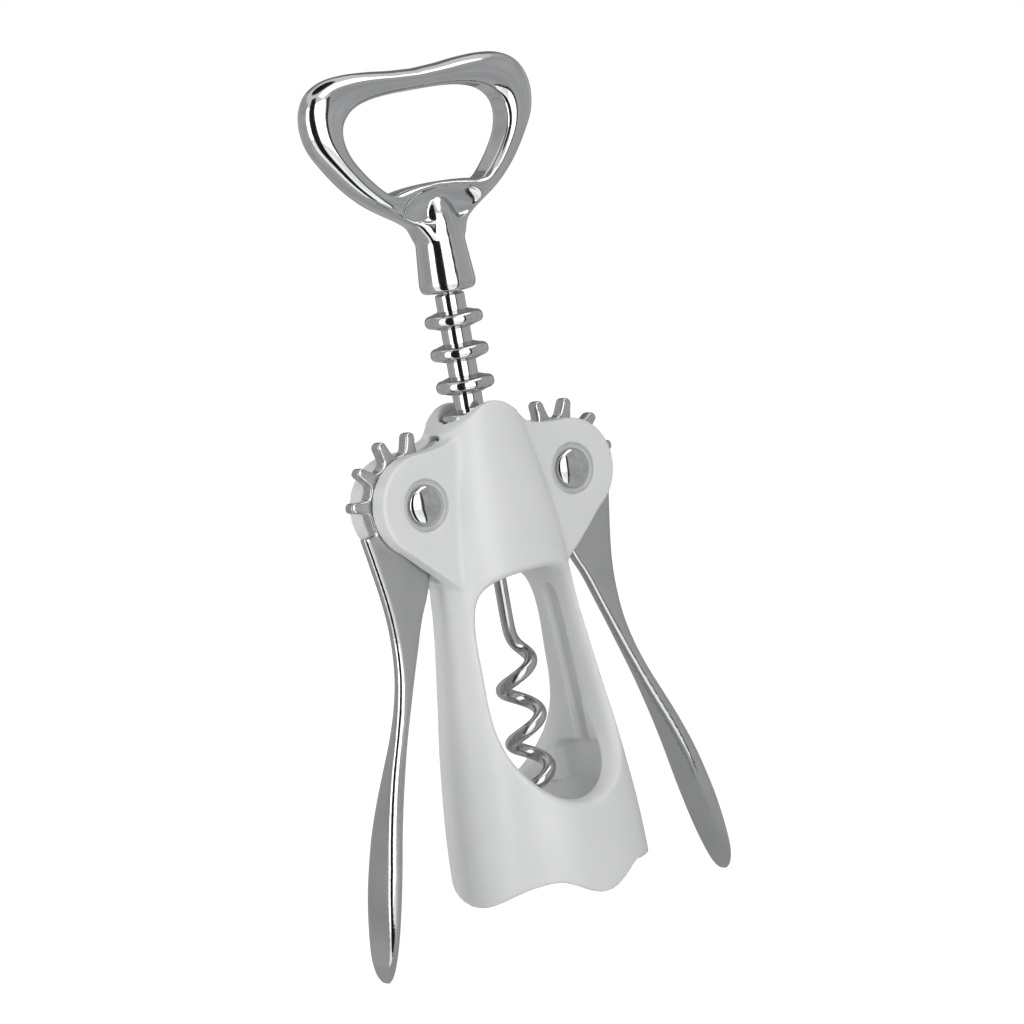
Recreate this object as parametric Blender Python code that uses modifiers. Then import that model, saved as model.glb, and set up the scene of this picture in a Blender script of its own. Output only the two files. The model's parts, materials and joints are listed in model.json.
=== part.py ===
"""Wing corkscrew with two geared levers, a ringed rack, a wire worm and a loop handle.

Units are metres. +Z runs up the tool's axis, the front faces -Y and the levers swing in the
XZ plane. The origin is on the axis, level with the ledge in the bell that a bottle stops at.
"""

import math

import bmesh
import bpy
from mathutils import Matrix, Vector

# Overall layout
LEVER_LENGTH = 0.0949
PIVOT_X = 0.01925
PIVOT_Z = 0.0668
GAP = 0.0003

# Rack and pinion
RING_PITCH = 0.0069
RING_COUNT = 7
RING_RADIUS = 0.00615
RING_THICKNESS = 0.0027
RING_EDGE = 0.0012
CORE_RADIUS = 0.0031
ROOT_BLEND = 0.0006
RING_EDGE_STEPS = 2
TOP_RING_Z = 0.03575
RACK_TOP_Z = 0.0413
RACK_BOTTOM_Z = -0.0094
RACK_END_CHAMFER = 0.0008
TEETH_PER_TURN = 12
TOOTH_COUNT = 7
FIRST_TOOTH_DEG = 9.4
GEAR_ROOT = 0.0109
GEAR_TIP = 0.01525
GEAR_HALF = 0.00155
TOOTH_FLANK = (
    (0.0109, 0.00205),
    (0.0114, 0.00150),
    (0.0129, 0.00115),
    (0.0143, 0.00085),
)
TOOTH_TIP_STEPS = 4
TOOTH_CROWN = (
    (0.0110, 0.0019),
    (0.0124, 0.0016),
    (0.0138, 0.0014),
    (0.0148, 0.0011),
    (0.0154, 0.0006),
)

# Lever arm stations as shares of its length: outer x, outer z, inner x, inner z, half width in y
ARM_SHARES = (
    (0.1391, -0.0464, -0.0211, -0.0263, 0.0150),
    (0.1296, -0.0948, -0.0379, -0.0948, 0.0150),
    (0.1201, -0.1475, -0.0221, -0.1454, 0.0150),
    (0.1128, -0.1949, -0.0032, -0.1970, 0.0150),
    (0.1080, -0.2476, 0.0232, -0.2487, 0.0150),
    (0.1085, -0.3077, 0.0485, -0.3140, 0.0153),
    (0.1159, -0.3688, 0.0727, -0.3772, 0.0163),
    (0.1328, -0.4320, 0.0969, -0.4415, 0.0184),
    (0.1549, -0.4932, 0.1212, -0.5026, 0.0216),
    (0.1802, -0.5522, 0.1433, -0.5616, 0.0279),
    (0.2055, -0.6164, 0.1675, -0.6259, 0.0364),
    (0.2287, -0.6849, 0.1897, -0.6923, 0.0443),
    (0.2466, -0.7503, 0.2076, -0.7576, 0.0490),
    (0.2624, -0.8166, 0.2255, -0.8240, 0.0506),
    (0.2740, -0.8851, 0.2445, -0.8915, 0.0485),
    (0.2824, -0.9431, 0.2608, -0.9473, 0.0415),
    (0.2835, -0.9779, 0.2698, -0.9800, 0.0300),
    (0.2808, -0.9947, 0.2750, -0.9953, 0.0170),
    (0.2787, -1.0000, 0.2771, -1.0000, 0.0060),
)
ARM_EDGE = 0.0009
ARM_EDGE_STEPS = 2
ARM_STEPS = 1
ARM_WIDTH_SHARE = 0.45
ARM_DEPTH_SHARE = 0.90

# Moulded body, as stations of height, half width in x and half depth in y
BODY_STATIONS = (
    (0.0210, 0.0089, 0.0082),
    (0.0120, 0.0106, 0.0094),
    (0.0000, 0.0130, 0.0109),
    (-0.0120, 0.0146, 0.0121),
    (-0.0180, 0.0148, 0.0127),
    (-0.0240, 0.0151, 0.0134),
    (-0.0300, 0.0156, 0.0143),
    (-0.0360, 0.0162, 0.0152),
    (-0.0440, 0.0170, 0.0165),
    (-0.0520, 0.0178, 0.0177),
    (-0.0610, 0.0187, 0.0187),
    (-0.0700, 0.0195, 0.0195),
    (-0.0780, 0.0199, 0.0199),
    (-0.0860, 0.0201, 0.0201),
)
CAVITY_STATIONS = (
    (-0.0120, 0.0070, 0.0070),
    (-0.0150, 0.0088, 0.0084),
    (-0.0190, 0.0108, 0.0098),
    (-0.0250, 0.0121, 0.0110),
    (-0.0340, 0.0129, 0.0120),
    (-0.0450, 0.0135, 0.0131),
    (-0.0560, 0.0141, 0.0140),
    (-0.0690, 0.0145, 0.0145),
)
BODY_POWER = 2.4
CAVITY_POWER = 2.2
BODY_SEGMENTS = 48
BODY_STEPS = 1
BODY_SAMPLES = 4
BODY_REACH_SHARE = 0.97
BORE_RADIUS = 0.0067
BORE_TOP_Z = 0.0240
BORE_BOTTOM_Z = -0.0140
SOCKET_TOP_RADIUS = 0.0161
SOCKET_MOUTH_RADIUS = 0.0164
SOCKET_MOUTH_Z = -0.0900

# Head plates that carry the pivots
PLATE_HALF = 0.0065
PLATE_EDGE = 0.0028
PLATE_EDGE_SEGMENTS = 3
PLATE_EDGE_DEG = 60.0
LOBE_RADIUS = 0.0107
LOBE_LOWER_DEG = -58.5
LOBE_UPPER_DEG = 92.0
LOBE_STEP_DEG = 12.0
PLATE_LOWER = ((0.0195, -0.0140), (0.0160, -0.0171), (0.0126, -0.0204), (0.0060, -0.0186))
PLATE_UPPER = ((0.0150, 0.0109), (0.0120, 0.0114), (0.0090, 0.0126))
CROWN = (
    (0.0000, 0.0182),
    (0.0025, 0.0177),
    (0.0050, 0.0163),
    (0.0075, 0.0146),
    (0.0100, 0.0132),
    (0.0130, 0.0122),
    (0.0180, 0.0118),
)
CROWN_SIDE = 0.0300
CROWN_LID_Z = 0.0300
SLOT_HALF = 0.00185
SLOT_RADIUS = 0.0158
SLOT_SIDE_X = 0.0155
SLOT_FLOOR_Z = -0.0240
SLOT_OUTER_X = 0.0420
SLOT_STEP_DEG = 8.0
RECESS_RADIUS = 0.0054
RECESS_FLOOR = 0.0053
RECESS_OUTER = 0.0090

# Windows in the front and back of the bell: the half outline, top to bottom
WINDOW = (
    (0.0000, -0.0180),
    (0.0045, -0.0182),
    (0.0085, -0.0191),
    (0.0108, -0.0211),
    (0.0119, -0.0248),
    (0.0126, -0.0305),
    (0.0131, -0.0375),
    (0.0136, -0.0445),
    (0.0136, -0.0505),
    (0.0126, -0.0560),
    (0.0102, -0.0607),
    (0.0069, -0.0640),
    (0.0034, -0.0658),
    (0.0000, -0.0664),
)
WINDOW_STEPS = 1
WINDOW_LIP = 0.0016
WINDOW_LIP_DEPTH = 0.0030
WINDOW_LIP_STEPS = 3
WINDOW_REACH = 0.0300

# Inside of the legs: an upright groove each, and a pocket with round corners above the ledge
GROOVE_HALF = 0.0023
GROOVE_STEP_DEG = 30.0
GROOVE_REACH = 0.0163
GROOVE_LEAN_DEG = 3.4
GROOVE_TOP_Z = -0.0240
GROOVE_BOTTOM_Z = -0.0600
POCKET_HALF = 0.0087
POCKET_CORNER = 0.0031
POCKET_REACH = 0.0152
POCKET_TOP_Z = -0.0580

# Scalloped rim
SCALLOP_DEG = 34.0
SCALLOP_HEIGHT = 0.0044
SCALLOP_DROP = 0.0060
SCALLOP_INNER = 0.0010
SCALLOP_OUTER = 0.0300

# Pivot pins and their domed caps
PIN_RADIUS = 0.0020
PIN_HALF = 0.0065
PIN_CHAMFER = 0.0003
CAP_RADIUS = 0.0043
CAP_RIM = 0.0005
CAP_HEIGHT = 0.0022
CAP_SOCKET_DEPTH = 0.0012
CAP_ARC_STEPS = 4
CAP_SEGMENTS = 24

# Loop handle, half outlines about the axis, heights above the rack's top, top to bottom
HANDLE_OUTER = (
    (0.0000, 0.0471),
    (0.0060, 0.0474),
    (0.0115, 0.0479),
    (0.0172, 0.0481),
    (0.0222, 0.0475),
    (0.0262, 0.0455),
    (0.0284, 0.0421),
    (0.0289, 0.0382),
    (0.0279, 0.0340),
    (0.0252, 0.0298),
    (0.0211, 0.0248),
    (0.0167, 0.0209),
    (0.0122, 0.0180),
    (0.0087, 0.0160),
    (0.0066, 0.0145),
    (0.0055, 0.0128),
    (0.0046, 0.0110),
    (0.0032, 0.0097),
)
HANDLE_HOLE = (
    (0.0000, 0.0427),
    (0.0078, 0.0426),
    (0.0134, 0.0420),
    (0.0176, 0.0406),
    (0.0202, 0.0380),
    (0.0208, 0.0349),
    (0.0199, 0.0315),
    (0.0177, 0.0281),
    (0.0152, 0.0252),
    (0.0132, 0.0233),
    (0.0120, 0.0226),
)
HANDLE_LIP = ((0.0102, 0.0225), (0.0076, 0.0229), (0.0040, 0.0232), (0.0000, 0.0233))
HANDLE_STEPS = 2
HANDLE_FLAT = 0.0020
HANDLE_ROUND = 0.0020
HANDLE_ROUND_STEPS = 2
SHANK = (
    (0.0025, 0.0193),
    (0.0036, 0.0179),
    (0.0044, 0.0161),
    (0.0049, 0.0141),
    (0.0051, 0.0123),
    (0.0055, 0.0077),
    (0.0060, 0.0021),
    (0.0057, 0.0008),
    (0.0049, 0.0003),
)
SHANK_BORE_DEPTH = 0.0117

# Hollow in each face of the web under the lip, an egg shape centred in front of and behind it
SCOOP_Z = 0.0186
SCOOP_HALF_X = 0.0100
SCOOP_HALF_Y = 0.0022
SCOOP_HALF_Z = 0.0038
SCOOP_SEGMENTS = 24
SCOOP_RINGS = 12

# Worm: the grip is how far it reaches up into the handle's shank
WIRE_RADIUS = 0.0014
HELIX_RADIUS = 0.00355
HELIX_PITCH = 0.0116
HELIX_PHASE_DEG = -37.2
HELIX_PHASE_Z = -0.0492
WORM_GRIP = 0.0107
WORM_TOP_Z = RACK_TOP_Z + WORM_GRIP
WORM_STRAIGHT_Z = -0.0275
WORM_RAMP_Z = -0.0372
WORM_TWIST_POWER = 4
WORM_TIP_Z = -0.0690
WORM_POINT_LENGTH = 0.0060
WORM_POINT_SHARE = 0.14
WORM_STEPS_PER_TURN = 22
WORM_STRAIGHT_STEPS = 4

ROUND_SEGMENTS = 32
RACK_SEGMENTS = 24
SMALL_SEGMENTS = 20
MERGE = 0.00001
SHARP_DEG = 35.0
WHITE_PLASTIC = (0.80, 0.81, 0.80, 1.0)
CHROME = (0.72, 0.72, 0.73, 1.0)
STEEL = (0.62, 0.62, 0.63, 1.0)
PLASTIC_ROUGHNESS = 0.35
CHROME_ROUGHNESS = 0.12
STEEL_ROUGHNESS = 0.25


def clear_scene():
    for item in list(bpy.data.objects):
        bpy.data.objects.remove(item, do_unlink=True)


def new_collection(name):
    collection = bpy.data.collections.new(name)
    bpy.context.scene.collection.children.link(collection)
    return collection


def new_material(name, color, metallic, roughness):
    material = bpy.data.materials.new(name)
    material.use_nodes = True
    shader = material.node_tree.nodes["Principled BSDF"]
    shader.inputs["Base Color"].default_value = color
    shader.inputs["Metallic"].default_value = metallic
    shader.inputs["Roughness"].default_value = roughness
    return material


def add_object(name, mesh, collection):
    item = bpy.data.objects.new(name, mesh)
    collection.objects.link(item)
    return item


def finish(item, material, location=(0.0, 0.0, 0.0), parent=None):
    item.data.materials.clear()
    item.data.materials.append(material)
    item.location = location
    item.parent = parent
    item.data.shade_smooth()
    item.data.set_sharp_from_angle(angle=math.radians(SHARP_DEG))
    return item


def as_cutter(item):
    item.hide_render = True
    item.display_type = "WIRE"
    return item


def boolean(item, other, operation):
    modifier = item.modifiers.new(other.name, "BOOLEAN")
    modifier.operation = operation
    modifier.solver = "EXACT"
    modifier.object = other


def baked(item, collection):
    """The evaluated object as a plain mesh object with its loose seams closed."""
    bpy.context.view_layer.update()
    graph = bpy.context.evaluated_depsgraph_get()
    mesh = bpy.data.meshes.new_from_object(item.evaluated_get(graph))
    work = bmesh.new()
    work.from_mesh(mesh)
    bmesh.ops.remove_doubles(work, verts=work.verts, dist=MERGE)
    bmesh.ops.recalc_face_normals(work, faces=work.faces)
    work.to_mesh(mesh)
    work.free()
    name = item.name
    matrix = item.matrix_world.copy()
    bpy.data.objects.remove(item, do_unlink=True)
    solid = add_object(name, mesh, collection)
    solid.matrix_world = matrix
    return solid


def smooth_path(points, steps):
    """Points on a smooth curve through the given ones, with the same ends."""
    result = []
    last = len(points) - 1
    for index in range(last):
        before = Vector(points[max(index - 1, 0)])
        start = Vector(points[index])
        end = Vector(points[index + 1])
        after = Vector(points[min(index + 2, last)])
        for step in range(steps):
            t = step / steps
            bend = (2 * before - 5 * start + 4 * end - after) * t * t
            twist = (3 * start - before - 3 * end + after) * t * t * t
            result.append(start + ((end - before) * t + bend + twist) / 2)
    result.append(Vector(points[last]))
    return result


def mirrored_loop(half):
    """Close a half outline that starts and ends on the axis with its mirror image."""
    right = [(point[0], point[1]) for point in half]
    left = [(-x, z) for x, z in reversed(right) if x > MERGE]
    return right + left


def arc(centre_x, centre_z, radius, start, end, step):
    count = max(2, math.ceil(abs(end - start) / step))
    points = []
    for index in range(count + 1):
        angle = math.radians(start + (end - start) * index / count)
        points.append((centre_x + radius * math.cos(angle), centre_z + radius * math.sin(angle)))
    return points


def outline_solid(name, loops, half, collection, edge=0.0, edge_steps=0):
    """Flat outlines in the XZ plane given a thickness, the edges rounded if edge is set."""
    curve = bpy.data.curves.new(name, "CURVE")
    curve.dimensions = "2D"
    curve.fill_mode = "BOTH"
    curve.extrude = half
    curve.bevel_depth = edge
    curve.bevel_resolution = edge_steps
    curve.offset = -edge
    for loop in loops:
        spline = curve.splines.new("POLY")
        spline.points.add(len(loop) - 1)
        for index, point in enumerate(loop):
            spline.points[index].co = (point[0], point[1], 0.0, 1.0)
        spline.use_cyclic_u = True
    item = add_object(name, curve, collection)
    item.rotation_euler = (math.pi / 2, 0.0, 0.0)
    solid = baked(item, collection)
    solid.data.transform(solid.matrix_world)
    solid.matrix_world = Matrix.Identity(4)
    return solid


def turned(name, profile, collection, segments=ROUND_SEGMENTS, closed=False):
    """A profile of radius and height, outer side top to bottom, turned about Z."""
    mesh = bpy.data.meshes.new(name)
    work = bmesh.new()
    verts = [work.verts.new((radius, 0.0, height)) for radius, height in profile]
    for first, second in zip(verts, verts[1:]):
        work.edges.new((first, second))
    if closed:
        work.edges.new((verts[-1], verts[0]))
    work.to_mesh(mesh)
    work.free()
    item = add_object(name, mesh, collection)
    screw = item.modifiers.new("turn", "SCREW")
    screw.steps = segments
    screw.render_steps = segments
    screw.use_merge_vertices = True
    screw.merge_threshold = MERGE
    return baked(item, collection)


def cylinder(name, radius, start, end, collection, axis="Z", segments=ROUND_SEGMENTS):
    mesh = bpy.data.meshes.new(name)
    work = bmesh.new()
    length = end - start
    bmesh.ops.create_cone(
        work, cap_ends=True, segments=segments, radius1=radius, radius2=radius, depth=length
    )
    bmesh.ops.translate(work, verts=work.verts, vec=(0.0, 0.0, (start + end) / 2))
    if axis == "Y":
        turn = Matrix.Rotation(-math.pi / 2, 3, "X")
        bmesh.ops.rotate(work, verts=work.verts, cent=(0.0, 0.0, 0.0), matrix=turn)
    work.to_mesh(mesh)
    work.free()
    return add_object(name, mesh, collection)


def loft(name, rings, collection):
    """Skin a stack of closed rings that have the same number of points, ends filled."""
    mesh = bpy.data.meshes.new(name)
    work = bmesh.new()
    rows = [[work.verts.new(point) for point in ring] for ring in rings]
    for lower, upper in zip(rows, rows[1:]):
        for index in range(len(lower)):
            after = (index + 1) % len(lower)
            work.faces.new((lower[index], lower[after], upper[after], upper[index]))
    work.faces.new(list(reversed(rows[0])))
    work.faces.new(rows[-1])
    bmesh.ops.recalc_face_normals(work, faces=work.faces)
    work.to_mesh(mesh)
    work.free()
    return add_object(name, mesh, collection)


def oval(height, half_x, half_y, power):
    """A ring of a superellipse: power 2 is an ellipse, higher is squarer."""
    ring = []
    for index in range(BODY_SEGMENTS):
        angle = 2 * math.pi * index / BODY_SEGMENTS
        cosine = math.cos(angle)
        sine = math.sin(angle)
        size = (abs(cosine) ** power + abs(sine) ** power) ** (-1 / power)
        ring.append((half_x * cosine * size, half_y * sine * size, PIVOT_Z + height))
    return ring


def body_half_sizes(height):
    """Half width and half depth of the moulded body at a height, read off its stations."""
    path = smooth_path(BODY_STATIONS, BODY_SAMPLES)
    for upper, lower in zip(path, path[1:]):
        if height >= lower[0]:
            share = (upper[0] - height) / (upper[0] - lower[0])
            return upper[1] + share * (lower[1] - upper[1]), upper[2] + share * (lower[2] - upper[2])
    return path[-1][1], path[-1][2]


def body_depth(x, height):
    """How far the body's outer surface stands from the mid-plane at x and a height."""
    half_x, half_y = body_half_sizes(height)
    reach = min(abs(x) / half_x, BODY_REACH_SHARE)
    return half_y * (1 - reach ** BODY_POWER) ** (1 / BODY_POWER)


def body_shell(collection):
    """The rounded column that widens into the bell, cut to a dome at its top."""
    path = smooth_path(BODY_STATIONS, BODY_STEPS)
    rings = [oval(height, half_x, half_y, BODY_POWER) for height, half_x, half_y in path]
    return loft("body", list(reversed(rings)), collection)


def crown_cutter(collection):
    curve = [(point[0], PIVOT_Z + point[1]) for point in smooth_path(CROWN, 2)]
    right = curve + [(CROWN_SIDE, curve[-1][1]), (CROWN_SIDE, PIVOT_Z + CROWN_LID_Z)]
    left = [(-x, z) for x, z in reversed(right) if x > MERGE]
    return outline_solid("cut_crown", [right + left], CROWN_SIDE, collection)


def head_plates(collection):
    """Both lobes as one slab, its rim rounded. The slot splits it into two plates later."""
    lower = [(x, PIVOT_Z + z) for x, z in reversed(PLATE_LOWER)]
    lobe = arc(PIVOT_X, PIVOT_Z, LOBE_RADIUS, LOBE_LOWER_DEG, LOBE_UPPER_DEG, LOBE_STEP_DEG)
    upper = [(x, PIVOT_Z + z) for x, z in PLATE_UPPER]
    right = lower + lobe + upper
    left = [(-x, z) for x, z in reversed(right)]
    slab = outline_solid("head_plates", [right + left], PLATE_HALF, collection)
    bevel = slab.modifiers.new("rounded rim", "BEVEL")
    bevel.width = PLATE_EDGE
    bevel.segments = PLATE_EDGE_SEGMENTS
    bevel.limit_method = "ANGLE"
    bevel.angle_limit = math.radians(PLATE_EDGE_DEG)
    return as_cutter(baked(slab, collection))


def window_cutter(collection):
    """The teardrop window's plug, flared where it leaves the wall so the lip comes out round."""
    half = [(point[0], point[1]) for point in smooth_path(WINDOW, WINDOW_STEPS)]
    loop = mirrored_loop(half)
    count = len(loop)
    normals = []
    for index in range(count):
        before = loop[index - 1]
        after = loop[(index + 1) % count]
        along = Vector((after[0] - before[0], after[1] - before[1])).normalized()
        normals.append((-along[1], along[0]))
    depths = []
    for (x, z), (nx, nz) in zip(loop, normals):
        depths.append(body_depth(x + nx * WINDOW_LIP, z + nz * WINDOW_LIP))
    sections = []
    for step in range(WINDOW_LIP_STEPS + 1):
        angle = math.pi / 2 * step / WINDOW_LIP_STEPS
        spread = WINDOW_LIP * (1 - math.cos(angle))
        inset = WINDOW_LIP_DEPTH * (1 - math.sin(angle))
        sections.append([(spread, depth - inset) for depth in depths])
    sections.append([(WINDOW_LIP + GAP, depth + WINDOW_LIP) for depth in depths])
    sections.append([(WINDOW_LIP + GAP, WINDOW_REACH) for depth in depths])
    rings = []
    for side in (-1, 1):
        ordered = reversed(sections) if side < 0 else sections
        for section in ordered:
            ring = []
            for (x, z), (nx, nz), (spread, y) in zip(loop, normals, section):
                ring.append((x + nx * spread, side * y, PIVOT_Z + z + nz * spread))
            rings.append(ring)
    return as_cutter(loft("cut_window", rings, collection))


def slot_cutter(side, collection):
    """Room for one lever's gear and web between the plates."""
    centre = PIVOT_X
    start = -math.degrees(math.acos((SLOT_SIDE_X - centre) / SLOT_RADIUS))
    points = [(SLOT_OUTER_X, SLOT_FLOOR_Z), (SLOT_SIDE_X, SLOT_FLOOR_Z)]
    points += arc(centre, 0.0, SLOT_RADIUS, start, -270.0, SLOT_STEP_DEG)
    points += [(SLOT_OUTER_X, SLOT_RADIUS)]
    loop = [(side * x, PIVOT_Z + z) for x, z in points]
    return as_cutter(outline_solid("cut_slot_%d" % (side + 1), [loop], SLOT_HALF, collection))


def scallop_height(x, y):
    """How far the bell's rim rises at a direction: low at the front, back and both sides."""
    turn = math.degrees(math.atan2(abs(x), abs(y)))
    if turn < SCALLOP_DEG:
        share = turn / SCALLOP_DEG
    else:
        share = (90.0 - turn) / (90.0 - SCALLOP_DEG)
    return SCALLOP_HEIGHT * (1 - math.cos(math.pi * share)) / 2


def scallop_cutter(collection):
    """A disc under the bell whose top waves up and down, which leaves the scalloped rim."""
    rim = PIVOT_Z + BODY_STATIONS[-1][0]
    rings = []
    for radius, drop in ((SCALLOP_OUTER, SCALLOP_DROP), (SCALLOP_OUTER, 0.0), (SCALLOP_INNER, 0.0)):
        ring = []
        for index in range(BODY_SEGMENTS):
            angle = 2 * math.pi * index / BODY_SEGMENTS
            x = radius * math.cos(angle)
            y = radius * math.sin(angle)
            rise = -drop if drop else scallop_height(x, y)
            ring.append((x, y, rim + rise))
        rings.append(ring)
    return as_cutter(loft("cut_scallops", rings, collection))


def leg_cutter(name, loop, reach, lean, side, collection):
    """An outline in the leg's width and height, cut outwards from the axis into one leg."""
    item = outline_solid(name, [loop], reach / 2, collection)
    item.data.transform(Matrix.Translation((0.0, reach / 2, 0.0)))
    item.rotation_euler = (lean, 0.0, -side * math.pi / 2)
    return as_cutter(item)


def groove_cutter(side, collection):
    """The shallow upright groove, round at both ends, down the inside of one leg."""
    top = PIVOT_Z + GROOVE_TOP_Z - GROOVE_HALF
    bottom = PIVOT_Z + GROOVE_BOTTOM_Z + GROOVE_HALF
    loop = arc(0.0, top, GROOVE_HALF, 0.0, 180.0, GROOVE_STEP_DEG)
    loop += arc(0.0, bottom, GROOVE_HALF, 180.0, 360.0, GROOVE_STEP_DEG)
    lean = math.radians(GROOVE_LEAN_DEG)
    return leg_cutter("cut_groove_%d" % (side + 1), loop, GROOVE_REACH, lean, side, collection)


def pocket_cutter(side, collection):
    """The wide pocket in the foot of one leg, with round upper corners, down to the ledge."""
    high = PIVOT_Z + POCKET_TOP_Z - POCKET_CORNER
    inset = POCKET_HALF - POCKET_CORNER
    loop = [(-POCKET_HALF, -GAP), (POCKET_HALF, -GAP)]
    loop += arc(inset, high, POCKET_CORNER, 0.0, 90.0, GROOVE_STEP_DEG)
    loop += arc(-inset, high, POCKET_CORNER, 90.0, 180.0, GROOVE_STEP_DEG)
    return leg_cutter("cut_pocket_%d" % (side + 1), loop, POCKET_REACH, 0.0, side, collection)


def build_body(parts, cutters, material):
    body = body_shell(parts)
    boolean(body, as_cutter(crown_cutter(cutters)), "DIFFERENCE")
    boolean(body, head_plates(cutters), "UNION")
    path = smooth_path(CAVITY_STATIONS, BODY_STEPS)
    rings = [oval(height, half_x, half_y, CAVITY_POWER) for height, half_x, half_y in path]
    cavity = as_cutter(loft("cut_cavity", list(reversed(rings)), cutters))
    boolean(body, cavity, "DIFFERENCE")
    start = PIVOT_Z + BORE_BOTTOM_Z
    bore = as_cutter(cylinder("cut_bore", BORE_RADIUS, start, PIVOT_Z + BORE_TOP_Z, cutters))
    boolean(body, bore, "DIFFERENCE")
    socket_profile = (
        (0.0, 0.0),
        (SOCKET_TOP_RADIUS, 0.0),
        (SOCKET_MOUTH_RADIUS, PIVOT_Z + SOCKET_MOUTH_Z),
        (0.0, PIVOT_Z + SOCKET_MOUTH_Z),
    )
    socket = as_cutter(turned("cut_socket", socket_profile, cutters, BODY_SEGMENTS))
    boolean(body, socket, "DIFFERENCE")
    boolean(body, window_cutter(cutters), "DIFFERENCE")
    for side in (-1, 1):
        boolean(body, slot_cutter(side, cutters), "DIFFERENCE")
        boolean(body, groove_cutter(side, cutters), "DIFFERENCE")
        boolean(body, pocket_cutter(side, cutters), "DIFFERENCE")
        hole = cylinder(
            "cut_pivot_%d" % (side + 1), PIN_RADIUS + GAP, -RECESS_OUTER, RECESS_OUTER,
            cutters, "Y", SMALL_SEGMENTS
        )
        hole.location = (side * PIVOT_X, 0.0, PIVOT_Z)
        boolean(body, as_cutter(hole), "DIFFERENCE")
        for face in (-1, 1):
            ends = sorted((face * RECESS_FLOOR, face * RECESS_OUTER))
            name = "cut_recess_%d_%d" % (side + 1, face + 1)
            recess = cylinder(name, RECESS_RADIUS, ends[0], ends[1], cutters, "Y")
            recess.location = (side * PIVOT_X, 0.0, PIVOT_Z)
            boolean(body, as_cutter(recess), "DIFFERENCE")
    boolean(body, scallop_cutter(cutters), "DIFFERENCE")
    return finish(body, material)


def gear_outline(side):
    """Root circle with the teeth that reach the rack and show above the plates."""
    step = 360.0 / TEETH_PER_TURN
    loop = []
    for index in range(TOOTH_COUNT):
        middle = math.radians(FIRST_TOOTH_DEG + step * index)
        rise = [(radius, -half) for radius, half in TOOTH_FLANK]
        top_radius, top_half = TOOTH_FLANK[-1]
        for part in range(1, TOOTH_TIP_STEPS):
            turn = math.pi * part / TOOTH_TIP_STEPS - math.pi / 2
            radius = top_radius + (GEAR_TIP - top_radius) * math.cos(turn)
            rise.append((radius, top_half * math.sin(turn)))
        rise += [(radius, half) for radius, half in reversed(TOOTH_FLANK)]
        for radius, offset in rise:
            angle = middle + offset / radius
            loop.append((radius * math.cos(angle), radius * math.sin(angle)))
    start = FIRST_TOOTH_DEG + step * (TOOTH_COUNT - 1) + step / 2
    loop += arc(0.0, 0.0, GEAR_ROOT, start, FIRST_TOOTH_DEG + 360 - step / 2, SLOT_STEP_DEG)
    return [(side * x, z) for x, z in loop]


def tooth_crown(name, cutters):
    """A disc on the pivot, thinner towards its rim, that rounds the teeth off sideways."""
    upper = [(0.0, TOOTH_CROWN[0][1])] + list(TOOTH_CROWN)
    lower = [(radius, -half) for radius, half in reversed(upper)]
    disc = turned(name, upper + lower, cutters, BODY_SEGMENTS)
    disc.rotation_euler = (math.pi / 2, 0.0, 0.0)
    return as_cutter(disc)


def rounded_section(outer, inner, half, edge):
    """A rounded rectangle spanning outer to inner, half as deep again on each side in y."""
    along = Vector((inner[0] - outer[0], 0.0, inner[1] - outer[1]))
    length = along.length
    along.normalize()
    start = Vector((outer[0], 0.0, outer[1]))
    corner = min(edge, length * ARM_WIDTH_SHARE, half * ARM_DEPTH_SHARE)
    ring = []
    for near_x, near_y, turn in ((1, -1, 0), (0, -1, 1), (0, 1, 2), (1, 1, 3)):
        centre_s = length - corner if near_x else corner
        centre_y = near_y * (half - corner)
        for part in range(ARM_EDGE_STEPS + 1):
            angle = -math.pi / 2 * turn - math.pi / 2 * part / ARM_EDGE_STEPS
            offset_s = corner * math.cos(angle)
            offset_y = corner * math.sin(angle)
            point = start + along * (centre_s + offset_s)
            ring.append((point[0], centre_y + offset_y, point[2]))
    return ring


def build_lever(name, side, parts, cutters, material):
    """One geared lever: a flat web that turns into a broad paddle, its origin on the pivot."""
    gear = outline_solid(name, [gear_outline(side)], GEAR_HALF, parts)
    rings = []
    for outer_x, outer_z, inner_x, inner_z, half in smooth_arm():
        outer = (side * outer_x, outer_z)
        inner = (side * inner_x, inner_z)
        rings.append(rounded_section(outer, inner, half, ARM_EDGE))
    arm = as_cutter(loft(name + "_arm", rings, cutters))
    hole = cylinder(
        name + "_bore", PIN_RADIUS + GAP, -CAP_RADIUS, CAP_RADIUS, cutters, "Y", SMALL_SEGMENTS
    )
    location = (side * PIVOT_X, 0.0, PIVOT_Z)
    crown = tooth_crown(name + "_crown", cutters)
    for tool in (arm, hole, crown):
        tool.location = location
    boolean(gear, crown, "INTERSECT")
    boolean(gear, arm, "UNION")
    boolean(gear, as_cutter(hole), "DIFFERENCE")
    return finish(gear, material, location)


def smooth_arm():
    """The arm's stations in metres, with more between them on a smooth curve."""
    stations = [[share * LEVER_LENGTH for share in row] for row in ARM_SHARES]
    columns = []
    for first, second in ((0, 1), (2, 3)):
        points = [(row[first], row[second]) for row in stations]
        columns.append(smooth_path(points, ARM_STEPS))
    halves = smooth_path([(row[4], 0.0) for row in stations], ARM_STEPS)
    rows = []
    for outer, inner, half in zip(columns[0], columns[1], halves):
        rows.append((outer[0], outer[1], inner[0], inner[1], half[0]))
    return rows


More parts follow.
